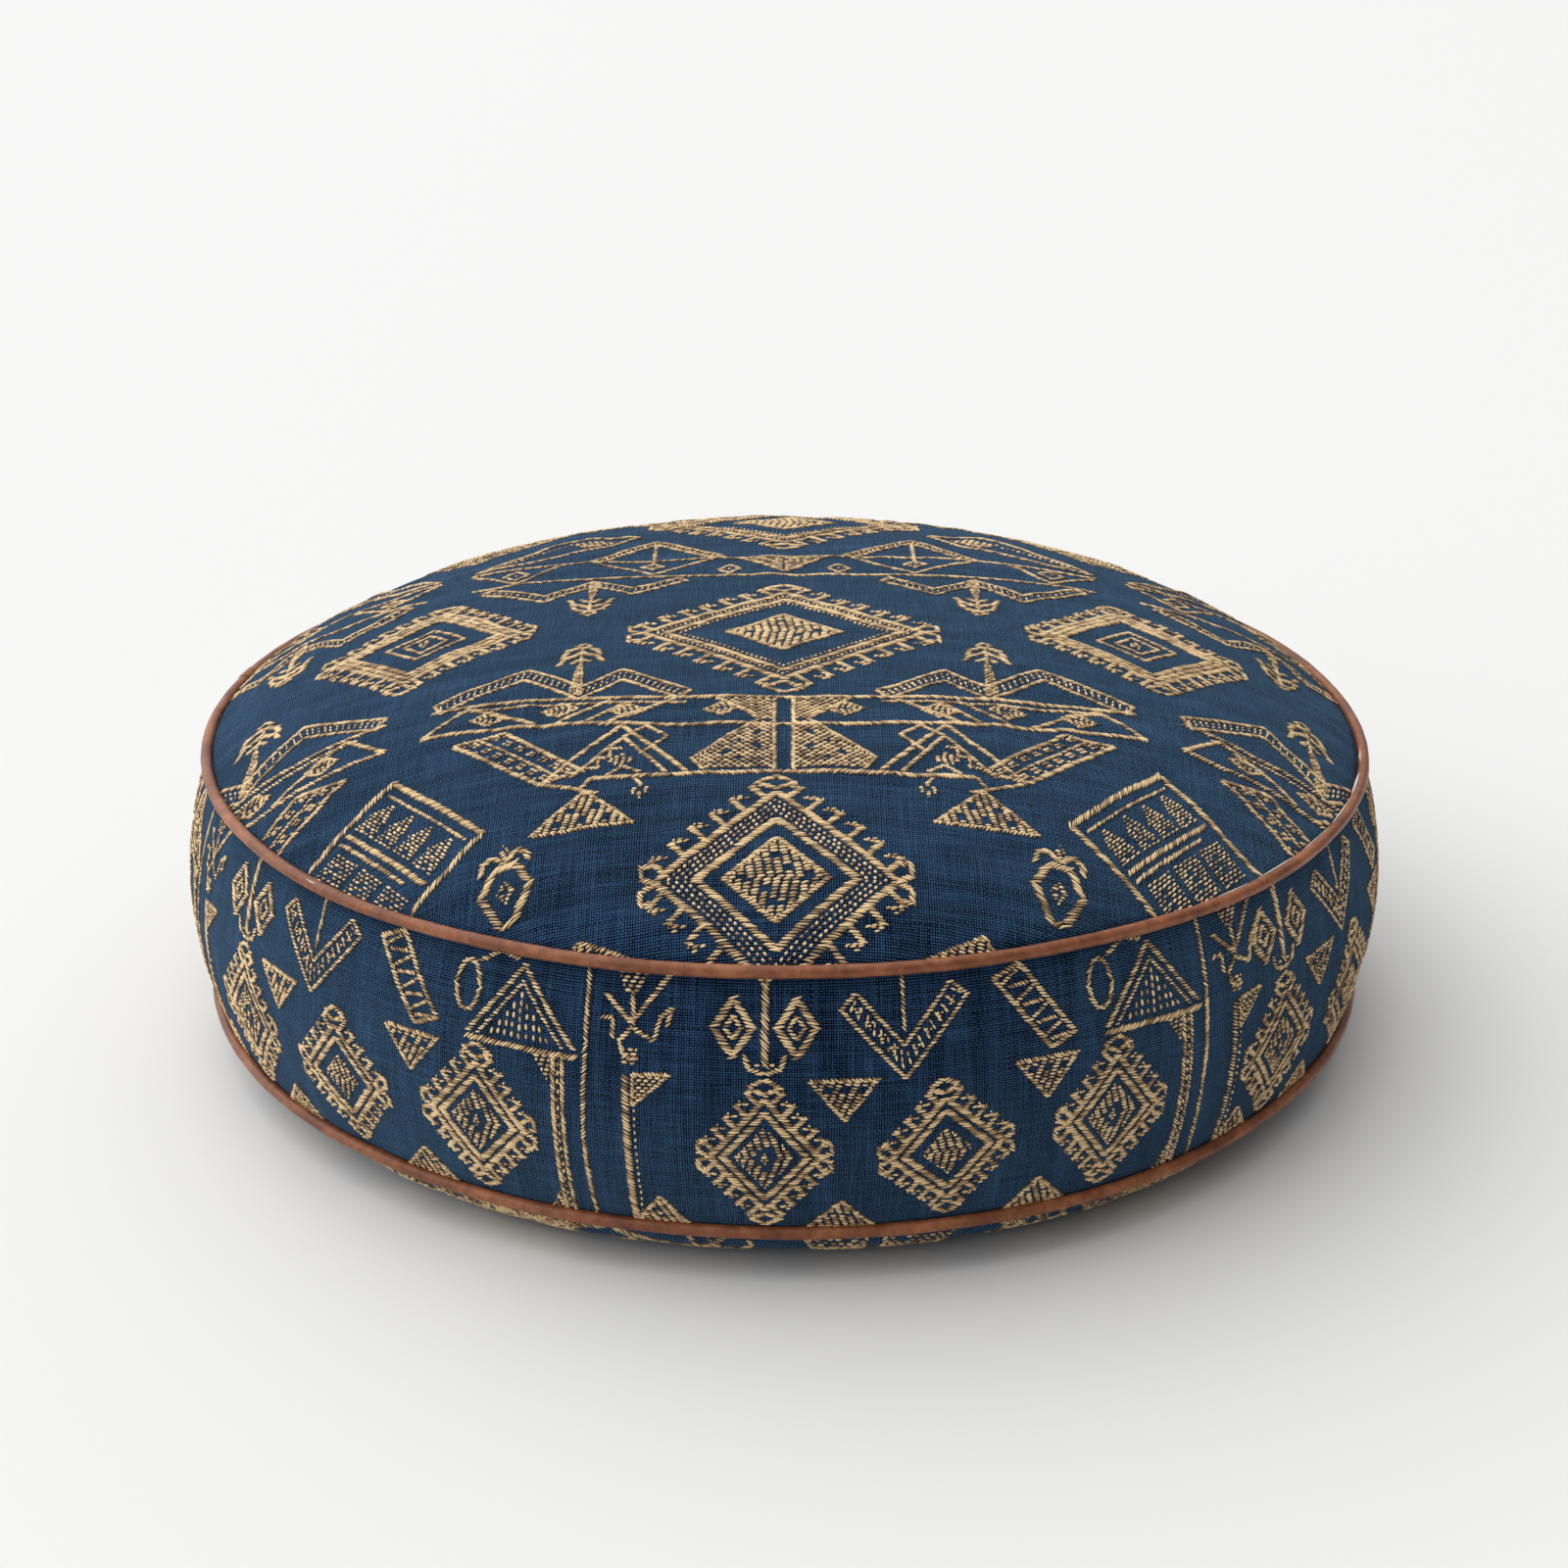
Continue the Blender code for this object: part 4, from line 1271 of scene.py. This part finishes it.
def new_tree(name, inputs, output):
    """A Geometry Nodes tree with its named inputs and its one output, and what it is given."""
    tree = bpy.data.node_groups.new(name, "GeometryNodeTree")
    for label, kind in inputs.items():
        tree.interface.new_socket(label, in_out="INPUT", socket_type="NodeSocket" + kind)
    tree.interface.new_socket(output, in_out="OUTPUT", socket_type="NodeSocketGeometry")
    return tree, node(tree, "NodeGroupInput").outputs


def set_down(tree, points, shape, material, **placed):
    """A copy of a shape at each point, made real and given its material: the tree's output."""
    info = node(tree, "GeometryNodeObjectInfo", {"Object": shape}, transform_space="ORIGINAL")
    given = {"Points": points, "Instance": info.outputs["Geometry"], **placed}
    copies = node(tree, "GeometryNodeInstanceOnPoints", given)
    real = node(tree, "GeometryNodeRealizeInstances", {0: copies.outputs[0]})
    paint = node(tree, "GeometryNodeSetMaterial", {"Geometry": real.outputs[0], "Material": material})
    node(tree, "NodeGroupOutput", {0: paint.outputs[0]})


def grown(name, mesh, tree, given):
    """An object whose mesh is what the tree makes of a mesh and its named inputs."""
    made = bpy.data.objects.new(name, mesh)
    scene.collection.objects.link(made)
    work = made.modifiers.new("Grown", "NODES")
    work.node_group = tree
    for socket in tree.interface.items_tree:
        if socket.in_out == "INPUT" and socket.name in given:
            work[socket.identifier] = given[socket.name]
    return made_plain(made)


def stitching_tree():
    """Sets a stitch down on the cloth at each pattern point, from its start to its end."""
    inputs = {
        "Pattern": "Geometry", "Cloth": "Object", "Stitch": "Object", "Height": "Float", "Lift": "Float"
    }
    tree, given = new_tree("stitching", {**inputs, "Yarn": "Material", "Seed": "Int"}, "Stitches")
    cloth = node(tree, "GeometryNodeObjectInfo", {"Object": given["Cloth"]}, transform_space="RELATIVE")
    position = node(tree, "GeometryNodeInputPosition").outputs[0]
    normal = node(tree, "GeometryNodeInputNormal").outputs[0]

    def named(name, kind="FLOAT_VECTOR"):
        return node(
            tree, "GeometryNodeInputNamedAttribute", {"Name": name}, data_type=kind
        ).outputs["Attribute"]

    def sampled(value, where):
        """What the cloth has at a place on its flat pattern."""
        asked = {
            "Mesh": cloth.outputs["Geometry"], "Source UV Map": named("UVMap"), "Value": value,
            "Sample UV": where,
        }
        return node(tree, "GeometryNodeSampleUVSurface", asked, data_type="FLOAT_VECTOR").outputs

    def stored(geometry, name, value, kind="FLOAT_VECTOR"):
        kept = {"Geometry": geometry, "Name": name, "Value": value}
        return node(tree, "GeometryNodeStoreNamedAttribute", kept, data_type=kind, domain="POINT").outputs[0]

    def vector(operation, one, inputs=None):
        made = node(tree, "ShaderNodeVectorMath", {0: one, **(inputs or {})}, operation=operation)
        return made.outputs["Value" if operation == "LENGTH" else "Vector"]

    first, second = sampled(position, position), sampled(position, named("end"))
    off_cloth = node(
        tree, "FunctionNodeBooleanMath", {0: first["Is Valid"], 1: second["Is Valid"]}, operation="NAND"
    )
    flow = stored(given["Pattern"], "a", first["Value"])
    flow = stored(flow, "b", second["Value"])
    flow = stored(flow, "n", sampled(normal, position)["Value"])
    flow = stored(flow, "lost", off_cloth.outputs[0], "BOOLEAN")
    lost = {"Geometry": flow, "Selection": named("lost", "BOOLEAN")}
    kept = node(tree, "GeometryNodeDeleteGeometry", lost, domain="POINT")
    middle = vector("SCALE", vector("ADD", named("a"), {1: named("b")}), {"Scale": 0.5})
    spot = vector("ADD", middle, {1: vector("SCALE", named("n"), {"Scale": given["Lift"]})})
    along = vector("SUBTRACT", named("b"), {1: named("a")})
    put = node(tree, "GeometryNodeSetPosition", {"Geometry": kept.outputs[0], "Position": spot})
    turn = node(tree, "FunctionNodeAlignRotationToVector", {"Vector": along}, axis="X").outputs[0]
    turn = node(
        tree, "FunctionNodeAlignRotationToVector", {
            "Rotation": turn, "Vector": named("n")
        }, axis="Z", pivot_axis="X"
    )
    vary = node(tree, "FunctionNodeRandomValue", {2: 0.82, 3: 1.2, "Seed": given["Seed"]}, data_type="FLOAT")
    high = sums(tree, "MULTIPLY", vary.outputs[1], given["Height"])
    size = node(
        tree, "ShaderNodeCombineXYZ", {0: vector("LENGTH", along), 1: named("wide", "FLOAT"), 2: high}
    )
    set_down(
        tree, put.outputs[0], given["Stitch"], given["Yarn"], Rotation=turn.outputs[0], Scale=size.outputs[0]
    )
    return tree


yarn = gold_cotton()
stitching = stitching_tree()
stitch_holder = one_stitch()


def worked(name, stitches, cloth, high=STITCH_HIGH, thread=None):
    """The stitches of one family of motifs, set down on a panel of the cover."""
    pattern = bpy.data.meshes.new(name)
    starts, ends = np.zeros((2, len(stitches), 3), np.float32)
    starts[:, :2], ends[:, :2] = stitches[:, :2], stitches[:, 2:4]
    pattern.from_pydata(starts.tolist(), [], [])
    shades = needle.uniform(0, 0.5, len(stitches))
    pattern.attributes.new("end", "FLOAT_VECTOR", "POINT").data.foreach_set("vector", ends.ravel())
    for label, values in (("wide", stitches[:, 4]), ("shade", shades)):
        pattern.attributes.new(label, "FLOAT", "POINT").data.foreach_set("value", values.astype(np.float32))
    given = {
        "Cloth": cloth, "Stitch": stitch_holder, "Height": high, "Lift": high * 0.35, "Yarn": thread or yarn
    }
    made = grown(name, pattern, stitching, {**given, "Seed": 7})
    for spare in ("a", "b", "n", "lost", "wide", "end"):
        if spare in made.data.attributes:
            made.data.attributes.remove(made.data.attributes[spare])
    return made


embroidery = []
for family, stitches in round_top().items():
    embroidery.append(worked("embroidery_" + family, stitches, top_cloth))

# the underside is cut from the same cloth; its motifs are worked only where its rim curves up
RIM_STARTS = 0.026  # outside the part that rests on the floor
rim_motifs = []
near_motif = both_sides(landscape_half())
rim_lozenge = hooked_lozenge(
    0.0625, 0.0565, [
        (0, "cord"), (0.004, "dots"), (0.0112, "cord")
    ], 6, 0.0135, notched_middle(0.0305, 0.0275)
)
for turn in range(0, 360, 60):
    rim_motifs.append(moved(moved(near_motif, (-0.02, -0.142)), (0, 0), turn + 11))
    rim_motifs.append(moved(moved(rim_lozenge, (0.0, -0.362)), (0, 0), turn + 31))
rim_motifs = np.concatenate(rim_motifs)
reach = np.hypot((rim_motifs[:, 0] + rim_motifs[:, 2]) / 2, (rim_motifs[:, 1] + rim_motifs[:, 3]) / 2)
embroidery.append(
    worked("embroidery_underside_rim", rim_motifs[reach > CONTACT_RADIUS + RIM_STARTS], under_cloth)
)

unit = boxing_unit()
WHOLE_ROUND = 2 * math.pi * ROUND
PULL_REACH = 121.5  # degrees from the front to where the pull lies over the boxing at the zip's ends
ZIP_CLEAR = 0.0078  # no stitches so near the middle of the zip
PULL_CLEAR = 0.0085
SEAM_CLEAR = 0.0005
repeats = [moved(unit, (math.radians(at) * ROUND, 0.0)) for at in BOXING_REPEATS]
at_back = repeats[:2] + repeats[5:]
for name, chosen, cloth in (
    ("embroidery_boxing_left", repeats[0:3], boxing_cloth),
    ("embroidery_boxing_middle", repeats[3:4], boxing_cloth),
    ("embroidery_boxing_right", repeats[4:7], boxing_cloth),
    ("embroidery_zip_upper", at_back, zip_upper_cloth),
    ("embroidery_zip_lower", at_back, zip_lower_cloth),
):
    strip = np.concatenate(chosen)
    if cloth is not boxing_cloth:
        strip = np.concatenate([strip, moved(strip, (WHOLE_ROUND, 0)), moved(strip, (-WHOLE_ROUND, 0))])
    off_zip = np.abs((strip[:, 1] + strip[:, 3]) / 2 + BOTTOM_SEAM_Z - sum(FOLD_Z) / 2)
    if cloth is boxing_cloth:
        kept = (np.abs(strip[:, 0]) <= math.radians(PULL_REACH) * ROUND) | (off_zip > PULL_CLEAR)
    else:
        kept = off_zip > ZIP_CLEAR
    low, high = np.minimum(strip[:, 1], strip[:, 3]), np.maximum(strip[:, 1], strip[:, 3])
    kept &= (low > SEAM_CLEAR) & (high < TOP_SEAM_Z - BOTTOM_SEAM_Z - SEAM_CLEAR)
    embroidery.append(worked(name, strip[kept], cloth))

for piece in embroidery:
    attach(piece, "cushion")

# ---------------------------------------------------------------------------------------------
# Topstitching
# A row of plain indigo thread along each folded edge of the zip opening, sewn by machine
# through the fold and the tape behind it.

TOPSTITCH_IN = 0.0052  # from the fold
TOPSTITCH_PITCH, TOPSTITCH_LONG, TOPSTITCH_WIDE = 0.0034, 0.0027, 0.0007
TOPSTITCH_HIGH = 0.0006
TOPSTITCH_FROM = 128.2  # degrees from the front, on either side


def plain_thread():
    """Indigo sewing thread, shaded by its twist."""
    made, tree, shader = new_finish("indigo_thread", {"Roughness": 0.55})
    twist = noise(tree, node(tree, "ShaderNodeTexCoord").outputs["Object"], 1400.0, 2.0)
    coloured(tree, shader, twist, (0.0, (0.01, 0.022, 0.06)), (1.0, (0.06, 0.13, 0.28)))
    raised(tree, shader, twist, 0.5, 0.0002)
    return made


thread = plain_thread()
for name, level, cloth in (
    ("topstitch_upper", FOLD_Z[1] + TOPSTITCH_IN, zip_upper_cloth),
    ("topstitch_lower", FOLD_Z[0] - TOPSTITCH_IN, zip_lower_cloth),
):
    at = level - BOTTOM_SEAM_Z
    behind = math.radians(180) * ROUND
    beside = math.radians(TOPSTITCH_FROM) * ROUND
    rows_sewn = []
    for start, stop in ((beside, behind), (-behind, -beside)):
        middle, way = path_points([(start, at), (stop, at)], TOPSTITCH_PITCH)
        rows_sewn.append(bars(middle, way, 0.0, TOPSTITCH_LONG, TOPSTITCH_WIDE))
    sewn_row = worked(name, np.concatenate(rows_sewn), cloth, high=TOPSTITCH_HIGH, thread=thread)
    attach(sewn_row, "cushion")

# the panels get their thickness last, because stitches are set down on their single layer
for panel, node_name in (
    (top_cloth, "top_panel"),
    (under_cloth, "bottom_panel"),
    (boxing_cloth, "boxing_front"),
    (zip_upper_cloth, "boxing_zip_upper"),
    (zip_lower_cloth, "boxing_zip_lower"),
):
    walled(panel, CLOTH)
    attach(panel, "cushion")
    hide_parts(node_name)

# ---------------------------------------------------------------------------------------------
# Piping
# Tan leather folded round a cotton cord and sewn into each seam. Each length is joined by a lap
# at the back, and the leather is creased a little where it was pulled round.

PIPING_AROUND = 480
PIPING_SIDES = 16
LAP_ANGLE, LAP_TURN = 168.0, 2.4  # degrees from +X, and along the seam
LAP_THICK = 0.00045
LAP_STEPS = 12
PUFF, CREASE = 0.011, 0.008  # of the piping's size


def tube_ring(name, ring, level, wander, seed, first=0.0, turn=360.0, extra=0.0, steps=PIPING_AROUND):
    """Leather round its cord along a seam, as a whole ring or as a short closed length of it."""
    pick = np.random.default_rng(seed)
    whole = turn >= 360.0
    where = np.radians(first + turn * np.arange(steps + (not whole)) / steps)
    section = np.arange(PIPING_SIDES) * 2 * math.pi / PIPING_SIDES
    puff = sum(PUFF * np.cos(n * where + pick.uniform(0, 6.28)) for n in (7, 19, 37, 61, 83))
    crease = sum(
        CREASE * np.cos(n * where[:, None] + 2 * section[None, :] + pick.uniform(0, 6.28)) for n in (41, 97)
    )
    size = (PIPING_RADIUS + extra) * (1 + puff[:, None] + crease)
    middle = ring + at_angle(wander[0], where)
    height = level + at_angle(wander[1], where)
    away = middle[:, None] + size * np.cos(section)
    points = np.stack(
        [
            away * np.cos(where)[:, None], away * np.sin(where)[:, None],
            height[:, None] + size * np.sin(section),
        ], -1
    ).reshape(-1, 3)
    faces, flat = [], []
    count = len(where)
    step = math.radians(turn) / steps * ring
    for k in range(steps):
        n = (k + 1) % count
        for j in range(PIPING_SIDES):
            m = (j + 1) % PIPING_SIDES
            faces.append([end * PIPING_SIDES + side for end, side in ((k, j), (n, j), (n, m), (k, m))])
            u = where[0] * ring + k * math.radians(turn) / steps * ring
            v0, v1 = j * PIPING_RADIUS * section[1], (j + 1) * PIPING_RADIUS * section[1]
            flat.append([(u, v0), (u + step, v0), (u + step, v1), (u, v1)])
    if not whole:
        faces.append(list(range(PIPING_SIDES)))
        faces.append([(count - 1) * PIPING_SIDES + j for j in range(PIPING_SIDES)][::-1])
        flat += [[(0, 0)] * PIPING_SIDES] * 2
    mesh = bpy.data.meshes.new(name)
    mesh.from_pydata(points.tolist(), [], faces)
    layer = mesh.uv_layers.new(name="UVMap")
    layer.data.foreach_set("uv", np.array([xy for face in flat for xy in face], np.float32).ravel())
    mesh.shade_smooth()
    made = bpy.data.objects.new(name, mesh)
    scene.collection.objects.link(made)
    return made


def faced_outward(obj):
    work = bmesh.new()
    work.from_mesh(obj.data)
    bmesh.ops.recalc_face_normals(work, faces=work.faces)
    work.to_mesh(obj.data)
    work.free()


def tan_leather():
    """Smooth tan leather: fine grain, darker in the creases and paler where it has been rubbed."""
    plain = {"Roughness": 0.42, "Specular IOR Level": 0.3, "Coat Weight": 0.12, "Coat Roughness": 0.28}
    made, tree, shader = new_finish("tan_leather_grain", plain)
    place = node(tree, "ShaderNodeTexCoord").outputs["Object"]
    grain = node(tree, "ShaderNodeTexVoronoi", {"Vector": place, "Scale": 1500.0}).outputs["Distance"]
    creases = noise(tree, place, 190.0, 3.0)
    stains = noise(tree, place, 26.0, 4.0, 0.6)
    coloured(
        tree,
        shader,
        sums(tree, "MULTIPLY_ADD", creases, 0.6, stains),
        (0.55, (0.1, 0.028, 0.01)),
        (1.0, (0.34, 0.122, 0.05)),
        (0.8, (0.215, 0.068, 0.025)),
    )
    feed(tree, shader.inputs["Roughness"], sums(tree, "MULTIPLY_ADD", creases, 0.35, 0.28))
    raised(tree, shader, sums(tree, "MULTIPLY_ADD", grain, 0.35, creases), 0.3, 0.0003)
    return made


leather = tan_leather()
for name, ring, level, wander, seed in (
    ("top_piping", TOP_RING, TOP_SEAM_Z, (top_dr, top_dz), 31),
    ("bottom_piping", BOTTOM_RING, BOTTOM_SEAM_Z, (bottom_dr, bottom_dz), 37),
):
    piping = tube_ring(name, ring, level, wander, seed)
    lap = tube_ring(name + "_lap", ring, level, wander, seed, LAP_ANGLE, LAP_TURN, LAP_THICK, LAP_STEPS)
    for piece in (piping, lap):
        faced_outward(piece)
        piece.data.materials.append(leather)
        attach(piece, "cushion")
    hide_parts(name + "_leather")

# ---------------------------------------------------------------------------------------------
# Zip
# A nylon coil zip on two woven tapes behind the folded edges, with a brass slider and pull. One
# loop of coil is drawn for each side and set down along the tape.

TOOTH_PITCH = 0.0013
TOOTH_REACH = 0.00035  # from the zip's middle to the nearest part of a tooth
COIL_DEPTH = 0.0019
COIL_FIRST, COIL_LAST = 40.3, 139.7  # degrees from +X
SIDES = 6  # of one loop's section
ZIP_Z = float(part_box("zip_coil_upper")[0][2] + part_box("zip_coil_lower")[1][2]) / 2
COIL_EDGE = float(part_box("zip_coil_upper")[1][2]) - ZIP_Z
COIL_OUTER = float(max(np.hypot(*np.array(v.co[:2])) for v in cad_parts["zip_coil_upper"].data.vertices))


def tooth(way):
    """One loop of the coil, lying along Z from the tape's edge to the zip's middle."""
    rounds = [(COIL_EDGE, 0.28), (COIL_EDGE - 0.0004, 0.4), (0.0013, 0.42)]
    rounds += [(TOOTH_REACH + 0.0004, 0.52), (TOOTH_REACH, 0.3)]
    verts, faces = [], []
    for z, half in rounds:
        for k in range(SIDES):
            a = k * math.pi / 3 + math.pi / 6
            deep = -COIL_DEPTH / 2 + math.cos(a) * COIL_DEPTH / 2 * (0.6 + half * 0.8)
            verts.append((deep, math.sin(a) * half * TOOTH_PITCH * 0.92, way * z))
    for k in range(len(rounds) - 1):
        for j in range(SIDES):
            a, b = SIDES * k + j, SIDES * k + (j + 1) % SIDES
            faces.append((a, b, b + SIDES, a + SIDES))
    faces += [tuple(range(SIDES)), tuple(range(SIDES * len(rounds) - 1, SIDES * (len(rounds) - 1) - 1, -1))]
    mesh = bpy.data.meshes.new("tooth")
    mesh.from_pydata(verts, [], faces)
    mesh.shade_smooth()
    holder = bpy.data.objects.new("tooth", mesh)
    faced_outward(holder)
    return holder


def teeth_tree():
    """Copies of one tooth set at equal angles round the cushion's axis."""
    inputs = {"Geometry": "Geometry", "Tooth": "Object", "Count": "Int", "First": "Float", "Turn": "Float"}
    tree, given = new_tree(
        "zip_teeth", {**inputs, "Radius": "Float", "Level": "Float", "Nylon": "Material"}, "Teeth"
    )
    line = node(tree, "GeometryNodeMeshLine", {"Count": given["Count"]})
    index = node(tree, "GeometryNodeInputIndex").outputs[0]
    turned = sums(tree, "MULTIPLY_ADD", index, given["Turn"], given["First"])
    x, y = (sums(tree, "MULTIPLY", sums(tree, wave, turned), given["Radius"]) for wave in ("COSINE", "SINE"))
    spot = node(tree, "ShaderNodeCombineXYZ", {0: x, 1: y, 2: given["Level"]}).outputs[0]
    put = node(tree, "GeometryNodeSetPosition", {"Geometry": line.outputs[0], "Position": spot})
    facing = node(tree, "ShaderNodeCombineXYZ", {2: turned})
    set_down(tree, put.outputs[0], given["Tooth"], given["Nylon"], Rotation=facing.outputs[0])
    return tree


def noisy_finish(name, low, high, roughness, scale, distance, metallic=0.0, sheen=0.0, strength=0.5):
    """A plain finish whose colour and surface vary with fine noise in the object's own space."""
    made, tree, shader = new_finish(name, {"Metallic": metallic, "Sheen Weight": sheen})
    place = node(tree, "ShaderNodeTexCoord").outputs["Object"]
    fine, broad = noise(tree, place, scale, 4.0, 0.6), noise(tree, place, scale / 12, 3.0)
    coloured(tree, shader, mixed(tree, 0.45, fine, broad), (0.35, low), (0.65, high))
    feed(tree, shader.inputs["Roughness"], sums(tree, "MULTIPLY_ADD", broad, 0.25, roughness - 0.12))
    raised(tree, shader, fine, strength, distance)
    return made


nylon = noisy_finish("blue_nylon", (0.012, 0.03, 0.085), (0.025, 0.06, 0.15), 0.35, 700.0, 0.0001)
brass = noisy_finish("worn_brass", (0.34, 0.2, 0.075), (0.58, 0.4, 0.17), 0.38, 420.0, 0.00008, metallic=1.0)
teeth = teeth_tree()
TEETH = int((math.radians(COIL_LAST - COIL_FIRST) * COIL_OUTER) / TOOTH_PITCH)
for side, way in (("upper", 1), ("lower", -1)):
    step = math.radians(COIL_LAST - COIL_FIRST) / TEETH
    one = tooth(way)
    given = {
        "Tooth": one,
        "Count": TEETH,
        "First": math.radians(COIL_FIRST) + (0.5 * step if way < 0 else 0.0),
        "Turn": step,
        "Radius": COIL_OUTER,
        "Level": ZIP_Z,
        "Nylon": nylon,
    }
    row = grown("zip_teeth_" + side, bpy.data.meshes.new("zip_teeth_" + side), teeth, given)
    bpy.data.objects.remove(one, do_unlink=True)
    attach(row, "cushion")
    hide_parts("zip_coil_" + side)


def merged_copy(node_name, name, flattened=False):
    """A node's own shape as a new object, its loose faces joined."""
    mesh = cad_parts[node_name].data.copy()
    mesh.name = name
    work = bmesh.new()
    work.from_mesh(mesh)
    bmesh.ops.remove_doubles(work, verts=work.verts, dist=1e-6)
    if flattened:
        bmesh.ops.dissolve_limit(work, angle_limit=math.radians(1.0), verts=work.verts, edges=work.edges)
    work.to_mesh(mesh)
    work.free()
    mesh.materials.clear()
    made = bpy.data.objects.new(name, mesh)
    scene.collection.objects.link(made)
    return made


def edges_rounded(obj, edge):
    rounding = obj.modifiers.new("Rounded", "BEVEL")
    rounding.width = edge
    rounding.segments = 2
    rounding.limit_method = "ANGLE"
    rounding.angle_limit = math.radians(30)
    made_plain(obj)
    obj.data.shade_smooth()


for node_name, name, body, edge in (
    ("zip_slider", "slider_body", "slider", 0.00025),
    ("zip_pull", "pull_tab", "pull", 0.0003),
    ("zip_stop_closed_end", "stop_closed_end", "cushion", 0.0002),
    ("zip_stop_open_end", "stop_open_end", "cushion", 0.0002),
):
    piece = merged_copy(node_name, name, flattened=True)
    edges_rounded(piece, edge)
    piece.data.materials.append(brass)
    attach(piece, body)
    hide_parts(node_name)


def woven_tape():
    """Herringbone polyester tape, in the object's own space."""
    made = noisy_finish(
        "woven_tape", (0.012, 0.035, 0.11), (0.028, 0.075, 0.2), 0.8, 900.0, 0.0002, sheen=0.2
    )
    tree = made.node_tree
    place = node(tree, "ShaderNodeTexCoord").outputs["Object"]
    ribs = node(
        tree,
        "ShaderNodeTexWave",
        {"Vector": place, "Scale": 320.0, "Distortion": 1.5},
        bands_direction="Z",
        wave_profile="TRI",
    )
    weave = next(n for n in tree.nodes if n.bl_idname == "ShaderNodeBump")
    over = raised(tree, tree.nodes["Principled BSDF"], ribs.outputs[0], 0.6, 0.00025)
    feed(tree, over.inputs["Normal"], weave.outputs[0])
    return made


tape = woven_tape()
for node_name in ("zip_tape_upper", "zip_tape_lower"):
    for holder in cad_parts[node_name].material_slots:
        holder.material = tape

# ---------------------------------------------------------------------------------------------
# Inner bag, filling and cords
# A calico bag packed with loose fibre fills the cover, and a twisted cotton cord fills each
# length of piping. None of them shows while the zip is shut.

LUMP_WAVES = 9


def softened(node_name, name, levels, lump, grain):
    """A soft node's own shape, divided finely and sunk a little by small even lumps."""
    made = merged_copy(node_name, name)
    divide = made.modifiers.new("Finer", "SUBSURF")
    divide.subdivision_type = "SIMPLE"
    divide.levels = divide.render_levels = levels
    made_plain(made)
    pick = np.random.default_rng(len(name))
    points = vectors_of(made.data.vertices, "co")
    lumps = np.zeros(len(points))
    for _ in range(LUMP_WAVES):
        way = pick.normal(0, 1, 3)
        lumps += np.cos(
            points @ (way / np.linalg.norm(way)) * pick.uniform(0.7, 1.3) * grain + pick.uniform(0, 6.28)
        )
    sunk = lump * (0.5 + lumps[:, None] / (2 * LUMP_WAVES))
    points -= vectors_of(made.data.vertex_normals, "vector") * sunk
    made.data.vertices.foreach_set("co", points.ravel())
    made.data.shade_smooth()
    return made


calico = noisy_finish("calico", (0.62, 0.56, 0.46), (0.8, 0.75, 0.64), 0.9, 800.0, 0.0003, sheen=0.2)
fibre = noisy_finish(
    "fibre_filling", (0.78, 0.77, 0.74), (0.93, 0.92, 0.9), 0.95, 160.0, 0.002, sheen=0.5, strength=1.0
)
cotton = noisy_finish("cotton_cord", (0.66, 0.6, 0.5), (0.82, 0.77, 0.68), 0.9, 900.0, 0.0004)
for node_name, name, levels, lump, grain, finish, slot_name in (
    ("bag_top", "inner_bag_top", 1, 0.0002, 60.0, calico, "calico"),
    ("bag_side", "inner_bag_side", 1, 0.0002, 60.0, calico, "calico"),
    ("bag_bottom", "inner_bag_bottom", 1, 0.0001, 60.0, calico, "calico"),
    ("filling", "fibre_mass", 2, 0.002, 90.0, fibre, "fibre_filling"),
    ("top_piping_cord", "top_cord", 1, 0.0002, 500.0, cotton, "cotton_cord"),
    ("bottom_piping_cord", "bottom_cord", 1, 0.0002, 500.0, cotton, "cotton_cord"),
):
    piece = softened(node_name, name, levels, lump, grain)
    piece.data.materials.append(finish)
    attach(piece, "cushion")
    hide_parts(node_name)

bpy.data.objects.remove(stitch_holder, do_unlink=True)
